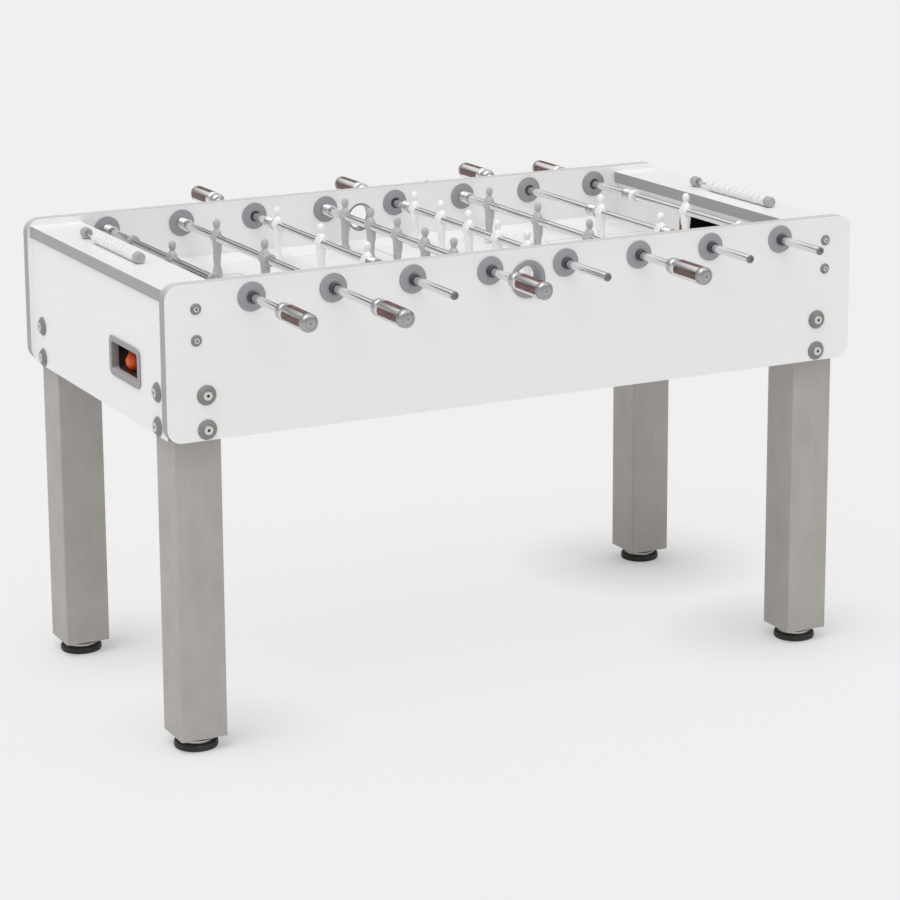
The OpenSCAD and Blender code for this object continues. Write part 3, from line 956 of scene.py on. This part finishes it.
@dataclass
class CupBolts:
    """Screws in cup washers, on the side panels and the end panels."""

    palette: Palette
    side_out: float = 0.376
    end_out: float = 0.716
    leg_y: float = 0.307
    bolt_x: float = 0.650
    screw_x: float = 0.667
    bolt_heights: tuple[float, float] = (0.615, 0.678)
    end_heights: tuple[float, float] = (0.613, 0.676)
    screw_heights: tuple[float, float] = (0.779, 0.836)
    cup_rise: float = 0.21  # height of a washer in its diameters

    def washer(self, cup: float, head: float) -> Piece:
        """A pressed cup washer round a screw head.

        Args:
            cup: Its outer diameter.
            head: The diameter of the head that sits in it.

        Returns:
            The washer, on Z.
        """
        r, eye, h = cup / 2, head / 2 + 0.0002, cup * self.cup_rise
        return Bench.turned("washer", [
            (r, 0.0), (r, h * 0.14), (r - 0.0008, h * 0.30), (r * 0.86, h * 0.50), (r * 0.70, h * 0.78),
            (eye + 0.0010, h * 0.98), (eye + 0.0003, h), (eye, h * 0.92), (eye, 0.0),
        ], 40, bored=True)

    def head(self, cup: float, head: float, socket: float) -> Piece:
        """A domed screw head with a hexagon socket.

        Args:
            cup: The diameter of its washer.
            head: Its own diameter.
            socket: The socket's width over corners.

        Returns:
            The head, on Z.
        """
        r, h = head / 2, cup * self.cup_rise
        screw = Bench.turned("head", [
            (r, 0.0004), (r, h * 0.92), (r * 0.94, h * 1.00), (r * 0.80, h * 1.05), (r * 0.10, h * 1.06),
        ], 32)
        key = Bench.turned("key", [(socket / 2, h * 0.30), (socket / 2, h * 2)], 6)
        return Bench.close(Bench.cut(screw, key), 30)

    def places(self) -> dict[str, list[Matrix]]:
        """Where the large leg bolts and the small panel screws stand.

        Returns:
            The places, by the CAD node whose screws stand there.
        """
        large, small = [], []
        for s in (-1, 1):
            for e in (-1, 1):
                large += [along_y(e * self.bolt_x, s * self.side_out, z, s) for z in self.bolt_heights]
                large += [along_x(e * self.end_out, s * self.leg_y, z, e) for z in self.end_heights]
                small += [along_y(e * self.screw_x, s * self.side_out, z, s) for z in self.screw_heights]
        return {"leg_bolts": large, "panel_screws": small}

    def build(self) -> None:
        """Models one bolt of each size and copies it to its places."""
        sizes = {"leg_bolts": mm(37, 18, 6.4), "panel_screws": mm(21, 10, 4.4)}  # across cup, head and socket
        for node, places in self.places().items():
            cup, head, socket = sizes[node]
            # painted shade: a black hexagon prism fills each screw's socket, standing in for the shade inside the
            # recess
            floor = Bench.turned("socket", [(socket / 2, cup * 0.07), (socket / 2, cup * self.cup_rise * 0.90)], 6)
            kinds = {
                "washers": (self.washer(cup, head), self.palette.washer),
                "heads": (self.head(cup, head, socket), self.palette.zinc),
                "sockets": (floor, self.palette.liner),
            }
            for kind, (master, material) in kinds.items():
                piece = dress(Bench.spread(f"{node}_{kind}", master, places), material, "fastener")
                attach(piece, "cabinet")
                if kind == "washers":
                    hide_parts(node)
                log.info("%s: %d copies", piece.name, len(places))


@dataclass
class Counters:
    """The posts and rails that the score beads slide on."""

    palette: Palette
    rail_x: float = 0.667
    rail_z: float = 0.881
    rail_half: float = 0.1305
    shift: float = 0.036
    rail_r: float = 0.004
    post_r: float = 0.0108
    post_l: float = 0.018
    bead_l: float = 0.0215
    bead_r: float = 0.0106
    bead_count: int = 10

    def bead(self) -> Piece:
        """One scoring bead, a barrel with wide chamfers.

        Returns:
            The bead, on Z.
        """
        r, length, gap = self.bead_r, self.bead_l, 0.0005
        return Bench.turned("bead", [
            (self.rail_r + 0.0003, gap), (r - 0.0014, gap), (r - 0.0005, gap + 0.0004), (r, gap + 0.0014),
            (r, length - gap - 0.0014), (r - 0.0005, length - gap - 0.0004), (r - 0.0014, length - gap),
            (self.rail_r + 0.0003, length - gap),
        ], 36, bored=True)

    def post(self) -> Piece:
        """A knob with a chamfered rim and a shallow dish in its end.

        Returns:
            The knob, on Z, with its outer end at 0.
        """
        rail, r, length = self.rail_r, self.post_r, self.post_l
        return Bench.turned("post", [
            (0.0002, 0.0004), (r * 0.45, 0.0004), (r * 0.62, 0.0), (r * 0.80, 0.0), (r - 0.0006, 0.0012), (r, 0.0026),
            (r, length - 0.0016), (r - 0.0012, length), (rail + 0.0012, length), (rail + 0.0006, length - 0.001),
            (rail, length - 0.001),
        ], 36)

    def beads(self) -> None:
        """A row of beads at the near end of each rail."""
        master = self.bead()
        for e, side in ((-1, "left"), (1, "right")):
            low = -e * self.shift - self.rail_half
            spots = (low + i * self.bead_l for i in range(self.bead_count))
            row = [along_y(e * self.rail_x, y, self.rail_z, 1) for y in spots]
            piece = dress(Bench.spread(f"{side}_bead_row", master, row, keep=True), self.palette.bead, "bead")
            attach(piece, f"{side}_beads")
            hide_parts(f"{side}_score_beads")
        Bench.drop(master)

    def build(self) -> None:
        """Puts a knob at both ends of both rails, and the beads on them."""
        ends, middles = [], []
        for e in (-1, 1):
            for s in (-1, 1):
                y = s * (self.rail_half + self.post_l) - e * self.shift
                ends.append(along_y(e * self.rail_x, y, self.rail_z, -s))
            middles.append(along_y(e * self.rail_x, -e * self.shift, self.rail_z, 1))
        rail = Bench.turned("rail", [(self.rail_r, -self.rail_half), (self.rail_r, self.rail_half)], 24)
        knobs = dress(Bench.spread("counter_knobs", self.post(), ends), self.palette.knob, "counter_rail")
        bars = dress(Bench.spread("counter_bars", rail, middles), self.palette.chrome, "counter_rail")
        for piece in (knobs, bars):
            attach(piece, "cabinet")
        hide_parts("score_rails")
        self.beads()
        log.info("counters: %d knobs and %d bars", len(ends), len(middles))


@dataclass
class Player:
    """One moulded footballer, on the rod's axis and looking along X."""

    toe: float = 0.074
    top: float = 0.038
    half_w: float = PLAYER_HALF
    shoe_size: Point = (0.0150, 0.0204, 0.0150)
    boss_r: float = 0.0098
    bore_r: float = 0.00806
    voxel: float = 0.0009
    faces: int = 2600

    def torso(self) -> Piece:
        """Hips, waist, chest and shoulders.

        Returns:
            The torso, upright.
        """
        return Bench.lofted("torso", [
            mm(7.2, 9.4, 0, 0, -36), mm(7.6, 9.8, 0, 0, -27), mm(8.0, 10.4, 0, 0, -18), mm(8.6, 11.2, 0, 0, -10),
            mm(9.3, 12.0, 0, 0, -3), mm(9.5, 12.4, 0, 0, 3), mm(8.9, 12.6, 0, 0, 9), mm(7.4, 12.2, 0, 0, 13),
            mm(5.4, 8.8, 0, 0, 16.4), mm(4.2, 5.4, 0, 0, 18.4),
        ], 28)

    def arm(self, side: int) -> Piece:
        """An arm held against the body, on one side.

        Args:
            side: Which side, as the sign of Y.

        Returns:
            The arm.
        """
        return Bench.lofted("arm", [
            mm(3.2, 1.8, 1.2, side * 9.8, -31), mm(4.8, 2.6, 1.0, side * 10.6, -26),
            mm(5.8, 3.2, 0.8, side * 10.2, -18), mm(6.5, 3.4, 0.4, side * 9.2, -8), mm(7.0, 3.5, 0, side * 9.1, 2),
            mm(6.6, 3.5, 0, side * 9.0, 9), mm(4.6, 3.0, 0, side * 8.8, 13.2),
        ], 16)

    def leg(self, side: int) -> Piece:
        """A leg from hip to ankle, on one side.

        Args:
            side: Which side, as the sign of Y.

        Returns:
            The leg.
        """
        return Bench.lofted("leg", [
            mm(5.4, 4.8, 0, side * 4.8, -66), mm(4.9, 4.4, 0, side * 4.7, -57), mm(5.5, 4.8, -0.4, side * 4.8, -48),
            mm(6.1, 5.1, -0.4, side * 4.9, -41), mm(6.2, 5.1, 0, side * 4.9, -34), mm(6.6, 5.4, 0.2, side * 5.0, -26),
            mm(6.6, 5.4, 0, side * 4.8, -18), mm(6.0, 5.0, 0, side * 4.4, -12),
        ], 16)

    def head(self) -> Piece:
        """A plain egg-shaped head on its neck.

        Returns:
            The head with its neck.
        """
        half, deep, across, taper, egg_step = 10.6, 8.2, 8.0, 0.16, 16.4
        centre = self.top * 1000 - half
        stations = [mm(4.6, 5.4, 0, 0, 14), mm(3.8, 4.1, 0, 0, 17.5), mm(3.8, 3.9, 0.1, 0, centre - half * 0.84)]
        for step in range(-4, 6):
            up, out = math.sin(math.radians(step * egg_step)), math.cos(math.radians(step * egg_step))
            narrow = out * (1 - taper * (1 - up) / 2)
            stations.append(mm(deep * narrow, across * narrow, 0.35, 0, centre + half * up))
        return Bench.lofted("head", stations)

    def shoe(self) -> Piece:
        """The striking block: flat in front and behind, wider at the sole.

        Returns:
            The block, with its sole down.
        """
        height = self.shoe_size[2]
        Bench.clear()
        bpy.ops.mesh.primitive_cube_add(size=1, location=(0, 0, height / 2 - self.toe))
        block = bpy.context.object
        block.scale = self.shoe_size
        Bench.settle(block)
        Bench.edit(block)
        bpy.ops.mesh.select_all(action="DESELECT")
        bpy.ops.object.mode_set(mode="OBJECT")
        for vertex in block.data.vertices:
            vertex.select = vertex.co.z > height / 2 - self.toe
        bpy.ops.object.mode_set(mode="EDIT")
        bpy.ops.transform.resize(value=(0.80, 0.90, 1), center_override=(0, 0, height - self.toe))
        bpy.ops.object.mode_set(mode="OBJECT")
        return Bench.modify(block, "BEVEL", width=0.0014, segments=3, limit_method="NONE")

    def boss(self) -> Piece:
        """The hub that the rod goes through.

        Returns:
            The hub, on Y.
        """
        r, half, rim = self.boss_r, self.half_w - 0.001, 0.0009
        hub = Bench.turned("boss", [(r - rim, -half), (r, -half + rim), (r, half - rim), (r - rim, half)], 32)
        return Bench.rotate(hub, math.pi / 2, "X")

    def build(self) -> Piece:
        """Melts the parts into one moulding and bores it.

        Returns:
            The player, with its rod's axis on Y through the origin.
        """
        parts = [self.torso(), self.head(), self.shoe(), self.boss()]
        parts += [make(side) for side in (-1, 1) for make in (self.arm, self.leg)]
        man = Bench.join("player", parts)
        Bench.modify(man, "REMESH", mode="VOXEL", voxel_size=self.voxel, use_smooth_shade=True)
        Bench.modify(man, "SMOOTH", factor=0.5, iterations=3)
        Bench.modify(man, "DECIMATE", ratio=min(1.0, self.faces / max(1, len(man.data.polygons) * 2)))
        through = 0.03
        bore = Bench.turned("bore", [(self.bore_r, -through), (self.bore_r, through)], 32)
        Bench.cut(man, Bench.rotate(bore, math.pi / 2, "X"))
        return Bench.close(man, 50)


@dataclass
class Handle:
    """A grip with four inlaid stripes, a domed barrel and an end cap."""

    rod_r: float = ROD_R
    r: float = 0.0165
    barrel_l: float = 0.023
    length: float = HELD_L
    cap_l: float = 0.015
    stripe_from: float = 0.035
    stripe_half: float = 0.0070
    stripe_depth: float = 0.0008
    stripe_proud: float = 0.0003

    def body(self) -> Piece:
        """The polished sleeve that the stripes are laid in.

        Returns:
            The sleeve, on Z.
        """
        r, start, end = self.r, self.barrel_l, self.length
        return Bench.turned("sleeve", [
            (self.rod_r, start - 0.0004), (r - 0.0024, start - 0.0004), (r - 0.0010, start + 0.0006),
            (r - 0.0003, start + 0.0016), (r, start + 0.0028), (r, end), (self.rod_r, end),
        ], 96, bored=True)

    def stripes(self) -> Piece:
        """Four strips of veneer: above, below and on both sides, a hair proud of the metal.

        Returns:
            All four as one piece, on Z.
        """
        strips = []
        low, high = self.stripe_from, self.length - 0.0003
        middle = (self.r - self.stripe_depth + self.stripe_proud, 0, (low + high) / 2)
        reach = math.asin(self.stripe_half / self.r)
        for step in range(4):
            Bench.clear()
            bpy.ops.mesh.primitive_plane_add(size=1, location=middle, rotation=(math.pi / 2, 0, 0))
            strip = bpy.context.object
            strip.scale = (2 * self.stripe_depth, high - low, 1)
            Bench.settle(strip)
            Bench.edit(Bench.rotate(strip, reach, "Z"))
            bpy.ops.mesh.spin(steps=10, angle=2 * reach, center=(0, 0, 0), axis=(0, 0, 1))
            Bench.close(strip, 40)
            Bench.modify(strip, "BEVEL", width=0.0002, segments=2, limit_method="ANGLE", angle_limit=math.radians(50))
            strips.append(Bench.rotate(strip, step * math.pi / 2, "Z"))
        return Bench.join("stripes", strips)

    def collar(self) -> Piece:
        """The satin barrel at the table's side, domed towards the rod.

        Returns:
            The barrel, on Z.
        """
        r, rod, end = self.r, self.rod_r, self.barrel_l
        return Bench.turned("collar", [
            (rod, 0.0), (rod + 0.0020, 0.0002), (r - 0.0044, 0.0014), (r - 0.0024, 0.0034), (r - 0.0010, 0.0064),
            (r - 0.0004, 0.0100), (r - 0.0004, end - 0.0060), (r - 0.0012, end - 0.0034), (r - 0.0026, end - 0.0020),
            (r - 0.0032, end - 0.0010), (r - 0.0032, end), (rod, end),
        ], 48, bored=True)

    def cap(self) -> Piece:
        """The end cap: a short rim, a dome with a fine ring and a small hole in the middle.

        Returns:
            The cap, on Z.
        """
        r, low = self.r, self.length
        top = low + self.cap_l
        return Bench.turned("cap", [
            (r - 0.0012, low), (r - 0.0012, low + 0.0006), (r, low + 0.0012), (r + 0.0002, low + 0.0024),
            (r + 0.0002, top - 0.0082), (r - 0.0006, top - 0.0058), (r - 0.0022, top - 0.0038),
            (r - 0.0042, top - 0.0025), (r - 0.0060, top - 0.0018), (r - 0.0062, top - 0.0024),
            (r - 0.0070, top - 0.0022), (r - 0.0072, top - 0.0014), (0.0050, top - 0.0005), (0.0018, top - 0.0001),
            (0.0014, top - 0.0005), (0.0012, top - 0.0030), (0.0003, top - 0.0030),
        ], 48)


@dataclass
class Spring:
    """A bumper spring with a flat washer at its free end."""

    rod_r: float = ROD_R
    length: float = SPRING_L
    wire: float = 0.0022
    mean_r: float = 0.0110
    turns: int = 7
    washer_t: float = 0.002

    def build(self) -> Piece:
        """Winds the wire with a screw and closes it with its washer.

        Returns:
            The spring on Z, from its fixed end at 0 to its washer at its length.
        """
        Bench.clear()
        bpy.ops.mesh.primitive_circle_add(
            vertices=8, radius=self.wire / 2, location=(self.mean_r, 0, self.wire / 2), rotation=(math.pi / 2, 0, 0)
        )
        coil = bpy.context.object
        Bench.settle(coil)
        rise = self.length - self.washer_t - self.wire
        Bench.modify(
            coil, "SCREW", axis="Z", angle=2 * math.pi, screw_offset=rise / self.turns, iterations=self.turns,
            steps=20, render_steps=20, use_merge_vertices=False,
        )
        Bench.edit(coil)
        bpy.ops.mesh.fill_holes(sides=8)
        Bench.close(coil, 60)
        inner, outer, low = self.rod_r + 0.0005, self.mean_r + self.wire / 2 + 0.0004, self.length - self.washer_t
        washer = Bench.turned("washer", [
            (inner, low), (outer - 0.0003, low), (outer, low + 0.0003), (outer, self.length - 0.0004),
            (outer - 0.0004, self.length), (inner, self.length),
        ], 32, bored=True)
        seat = Bench.turned("seat", [
            (inner, 0.0), (outer - 0.0004, 0.0), (outer - 0.0004, 0.0008), (inner, 0.0008),
        ], 32, bored=True)
        return Bench.join("spring", [coil, washer, seat])


@dataclass
class RodMasters:
    """One of each piece that every rod carries."""

    player: Piece
    body: Piece
    stripes: Piece
    collar: Piece
    cap: Piece
    spring: Piece

    @classmethod
    def make(cls) -> "RodMasters":
        """Models each master piece once.

        Returns:
            All of them.
        """
        h = Handle()
        made = cls(Player().build(), h.body(), h.stripes(), h.collar(), h.cap(), Spring().build())
        log.info("masters: player of %d faces", len(made.player.data.polygons))
        return made

    def drop(self) -> None:
        """Throws the masters away once all copies are made."""
        for master in vars(self).values():
            Bench.drop(master)


@dataclass
class PlayerRod:
    """One rod with its players, handle, end cap, stop rings and springs."""

    number: int
    team: Team
    count: int
    shift: float  # where the rod's middle rests along Y
    handle_side: Side
    tip: float  # from the rod's middle to its bare end
    palette: Palette
    masters: RodMasters
    pitch: float = 0.160
    z: float = 0.848
    r: float = ROD_R
    wall: float = 0.0025
    cap_l: float = 0.004
    nose_from: float = 0.387
    nose_l: float = 0.005
    wall_face: float = 0.346
    ring_offset: float = 0.205
    ring_half: float = 0.005
    ring_r: float = 0.013
    ring_gap: float = 0.007
    screw_r: float = 0.0019
    ringed: tuple[int, ...] = (1, 2, 8)

    @property
    def x(self) -> float:
        """Where the rod is along the table."""
        return (self.number - 4.5) * self.pitch

    @property
    def spacing(self) -> float:
        """Distance from one player to the next."""
        return {1: 0.0, 2: 0.236, 3: 0.209, 5: 0.121}[self.count]

    @property
    def handle_start(self) -> float:
        """From the rod's middle to the start of its handle."""
        return {1: 0.507, 2: 0.6045, 3: 0.5135, 5: 0.4805}[self.count]

    @property
    def spots(self) -> list[float]:
        """Where the players stand, from the rod's middle."""
        return [(i - (self.count - 1) / 2) * self.spacing for i in range(self.count)]

    @property
    def outreach(self) -> float:
        """From the rod's middle to the outside of what is fixed on it."""
        return self.ring_offset + self.ring_half if self.count == 1 else self.spots[-1] + PLAYER_HALF

    def on_rod(self, y: float, way: int) -> Matrix:
        """The place of a turned piece at a distance y from the rod's middle."""
        return along_y(self.x, self.shift + y, self.z, way)

    def mount(
        self, name: str, master: Piece, places: list[Matrix], finish: tuple[Material, str],
        body: str = "rod", keep: bool = False,
    ) -> Piece:
        """Makes one piece out of copies of a master.

        Args:
            name: The piece's name, without the rod's number.
            master: What is copied.
            places: Where the copies go.
            finish: What they are covered with, and the record's slot of that.
            body: What the piece rides on, without the rod's number.
            keep: Whether the master stays, for more copies.

        Returns:
            The finished piece.
        """
        piece = dress(Bench.spread(f"{name}_{self.number}", master, places, keep), *finish)
        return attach(piece, f"{body}_{self.number}")

    def tube(self) -> None:
        """The chromed tube, chamfered at its ends."""
        way = self.handle_side.value
        bare = self.tip - self.cap_l
        length = bare + self.handle_start + HELD_L
        r, inner, edge = self.r, self.r - self.wall, 0.0005
        tube = Bench.turned("tube", [
            (inner, 0.0), (r - edge, 0.0), (r, edge), (r, length - edge), (r - edge, length), (inner, length),
        ], 40, bored=True)
        piece = self.mount("rod_tube", tube, [self.on_rod(-way * bare, way)], (self.palette.chrome, "rod"))
        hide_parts(f"rod_{self.number}")

    def end_cap(self) -> None:
        """The dark plug on the bare end."""
        way = self.handle_side.value
        r, length = self.r, self.cap_l
        plug = Bench.turned("plug", [
            (r - 0.0006, 0.0), (r + 0.0001, 0.0005), (r + 0.0001, length - 0.0014), (r - 0.0006, length - 0.0004),
            (r - 0.0014, length), (r - 0.0026, length), (r - 0.0030, length - 0.0005), (r - 0.0032, length - 0.0030),
            (0.0003, length - 0.0032),
        ], 36)
        self.mount("rod_plug", plug, [self.on_rod(-way * (self.tip - length), -way)], (self.palette.plug, "bush"))

    def stop_rings(self) -> None:
        """Stop rings, each with a small hole for a set screw in its rim."""
        if self.number not in self.ringed:
            return
        beside = -(self.spacing / 2 + PLAYER_HALF + self.ring_gap)
        spots = [-self.ring_offset, self.ring_offset] if self.count == 1 else [beside]
        half, r, chamfer = self.ring_half, self.ring_r, 0.0009
        ring = Bench.turned("ring", [
            (self.r, -half), (r - chamfer, -half), (r, -half + chamfer), (r, half - chamfer), (r - chamfer, half),
            (self.r, half),
        ], 40, bored=True)
        hole = Bench.turned("hole", [(self.screw_r, 0.0), (self.screw_r, 2 * r)], 16)
        Bench.close(Bench.cut(ring, Bench.rotate(hole, math.pi / 2, "Y")), 30)
        self.mount("stop_rings", ring, [self.on_rod(y, 1) for y in spots], self.palette.team(self.team))

    def players(self) -> None:
        """The rod's players, all upright at rest and facing the other team's goal."""
        turn = Matrix.Rotation(math.pi if self.team is Team.WHITE else 0.0, 4, "Z")
        places = [Matrix.Translation((self.x, self.shift + y, self.z)) @ turn for y in self.spots]
        piece = self.mount("players", self.masters.player, places, self.palette.team(self.team), keep=True)
        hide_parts(f"figures_{self.number}")

    def handle(self) -> None:
        """The handle's metal, stripes, collar and cap."""
        way = self.handle_side.value
        place = self.on_rod(way * self.handle_start, way)
        p, m = self.palette, self.masters
        kinds = {
            "handle_sleeve": (m.body, p.grip), "handle_stripes": (m.stripes, p.veneer),
            "handle_collar": (m.collar, p.collar), "handle_cap": (m.cap, p.cap),
        }
        for name, (master, material) in kinds.items():
            piece = self.mount(name, master, [place], (material, "handle"), keep=True)
            if name == "handle_sleeve":
                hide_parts(f"handle_{self.number}")

    def springs(self) -> None:
        """Springs on the bearings for the grey team, and on the rod for the white team."""
        on_wall, gap = self.team is Team.GREY, 0.0003
        middle = 0.0 if on_wall else self.shift
        seat = self.wall_face - gap if on_wall else self.outreach + gap + SPRING_L
        places = [along_y(self.x, middle + s * seat, self.z, -s) for s in (-1, 1)]
        finish, body = (self.palette.spring, "spring"), "bushes" if on_wall else "rod"
        piece = self.mount("bumper_springs", self.masters.spring, places, finish, body, keep=True)
        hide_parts(f"springs_{self.number}")

    def noses(self) -> None:
        """The rims of both bushes, which stand out of the flanges round the rod."""
        inner, outer, length = self.r + 0.0004, self.r + 0.0028, self.nose_l
        ring = Bench.turned("nose", [
            (inner, 0.0), (outer, 0.0), (outer - 0.0002, length - 0.0010), (outer - 0.0010, length), (inner, length),
        ], 40, bored=True)
        places = [along_y(self.x, s * self.nose_from, self.z, s) for s in (-1, 1)]
        self.mount("bush_noses", ring, places, (self.palette.dark, "bush"), "bushes")

    def build(self) -> None:
        """Makes everything on the rod."""
        for make in (self.tube, self.noses, self.end_cap, self.stop_rings, self.players, self.handle, self.springs):
            make()
        dress(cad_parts[f"bushes_{self.number}"], self.palette.dark, "bush")
        log.info("rod %d: %s team, %d players", self.number, self.team.value, self.count)


# ---------------------------------------------------------------- studio


@dataclass
class Studio:
    """Floor, soft light and camera."""

    backdrop: float = 0.865
    daylight: float = 0.66
    floor_size: float = 90.0
    floor_colour: float = 0.84
    floor_glow: float = 0.90
    foot: tuple[float, float] = (0.659, 0.307)  # where the feet stand along X and Y
    shade_reach: tuple[float, float] = (0.05, 0.30)  # where their shadow starts to fade, and where it ends
    shade_glow: float = 0.35
    far_floor: float = 0.14  # how high up the world the backdrop's tone goes, before the walls' own
    walls: tuple[tuple[float, float], ...] = ((0.22, 0.10), (0.34, 0.08), (0.46, 0.9), (1.0, 1.0))
    lamps: tuple[tuple[str, float, float, Point], ...] = (
        ("key", 1.34, 44, (0.33, 0.20, -1.0)),
        ("fill", 0.15, 60, (-0.5, 0.6, -0.6)),
    )
    place: Point = (-2.5086, -4.9498, 1.9041)
    yaw: float = 27.1436
    pitch: float = -12.1137
    roll: float = -0.3084
    lens: float = 114.204
    shift: tuple[float, float] = (0.0, -0.1667)

    def floor(self) -> None:
        """A wide pale floor, lit up for the camera except in the shadow round the table's feet."""
        Bench.clear()
        bpy.ops.mesh.primitive_plane_add(size=self.floor_size, location=(0, 0, 0))
        floor = bpy.context.object
        floor.name = "studio_floor"
        p = Paint("studio_floor")
        pale = (self.floor_colour,) * 3
        p.set(Base_Color=p.mix(p.noise(2.0, 2), tint(pale, 0.99), pale), Roughness=0.75)
        x, y, _ = p.place()
        off_x, off_y = abs(x) - self.foot[0], abs(y) - self.foot[1]
        clear = (off_x * off_x + off_y * off_y).root().ramp(*self.shade_reach)
        clear = clear * (1 - self.shade_glow) + self.shade_glow
        glow = p.node("Emission", {}, {0: (self.backdrop,) * 3, 1: 1.0})
        lit = Signal(p, p.shader.outputs[0])
        seen = p.ray("Camera") * clear * self.floor_glow
        p.feed(p.output.inputs[0], p.node("MixShader", {}, {0: seen, 1: lit, 2: glow}))
        floor.data.materials.append(p.material)

    def world(self) -> None:
        """Even daylight; the camera and bright metal see a plain pale room with a darker far wall."""
        world = bpy.data.worlds.new("studio")
        bpy.context.scene.world = world
        world.use_nodes = True
        g = Graph(world.node_tree)
        tones = ((0.0, self.backdrop), (self.far_floor, self.backdrop), *self.walls)
        room = g.node("ValToRGB", {"stops": tones}, {0: g.coordinates("Generated")[2]})
        plain = g.node("Background", {}, {0: (1.0, 1.0, 1.0), 1: self.daylight})
        seen = g.node("Background", {}, {0: room})
        mixed = g.node("MixShader", {}, {0: g.ray("Camera", "Glossy", "Transmission"), 1: plain, 2: seen})
        g.add("OutputWorld", {}, {0: mixed})

    def lamp(self, name: str, strength: float, angle: float, towards: Point) -> None:
        """A soft distant lamp.

        Args:
            name: The lamp's name.
            strength: How strong it is.
            angle: How wide its disc is, in degrees.
            towards: Where it shines, as a direction.
        """
        data = bpy.data.lights.new(name, "SUN")
        data.energy = strength
        data.angle = math.radians(angle)
        shown(name, data).rotation_euler = Vector(towards).to_track_quat("-Z", "Y").to_euler()

    def camera(self) -> None:
        """The camera, from the near left and a little above."""
        yaw, pitch, roll = (math.radians(a) for a in (self.yaw, self.pitch, self.roll))
        ahead = Vector((math.sin(yaw) * math.cos(pitch), math.cos(yaw) * math.cos(pitch), math.sin(pitch)))
        right = Vector((math.cos(yaw), -math.sin(yaw), 0))
        up = right.cross(ahead)
        right, up = right * math.cos(roll) + up * math.sin(roll), up * math.cos(roll) - right * math.sin(roll)
        data = bpy.data.cameras.new("camera")
        data.sensor_width, data.lens = 36.0, self.lens
        data.shift_x, data.shift_y = self.shift
        data.clip_start, data.clip_end = 0.1, 200.0
        camera = shown("camera", data)
        turn = Matrix((right, up, -ahead)).transposed().to_4x4()
        camera.matrix_world = Matrix.Translation(self.place) @ turn
        bpy.context.scene.camera = camera

    def build(self) -> None:
        """Sets up the whole studio."""
        bpy.context.scene.view_settings.view_transform = "Standard"
        self.floor()
        self.world()
        for lamp in self.lamps:
            self.lamp(*lamp)
        self.camera()
        log.info("studio: floor, world, two lamps and camera")


# Each rod's team, number of players, shift, handle's side and tip, from the left end.
ROD_PLAN: tuple[tuple[Team, int, float, Side, float], ...] = (
    (Team.GREY, 1, 0.000, Side.NEAR, 0.488),
    (Team.GREY, 2, 0.049, Side.NEAR, 0.443),
    (Team.WHITE, 3, 0.024, Side.FAR, 0.569),
    (Team.GREY, 5, 0.013, Side.NEAR, 0.495),
    (Team.WHITE, 5, 0.015, Side.FAR, 0.550),
    (Team.GREY, 3, 0.021, Side.NEAR, 0.500),
    (Team.WHITE, 2, -0.076, Side.FAR, 0.443),
    (Team.WHITE, 1, -0.030, Side.FAR, 0.486),
)


def main() -> None:
    """Builds the studio and the table, piece by piece."""
    Studio().build()
    palette = Palette()
    Cabinet(palette).build()
    CupBolts(palette).build()
    Counters(palette).build()
    masters = RodMasters.make()
    for number, plan in enumerate(ROD_PLAN, 1):
        PlayerRod(number, *plan, palette, masters).build()
    masters.drop()


if __name__ == "__main__":
    main()
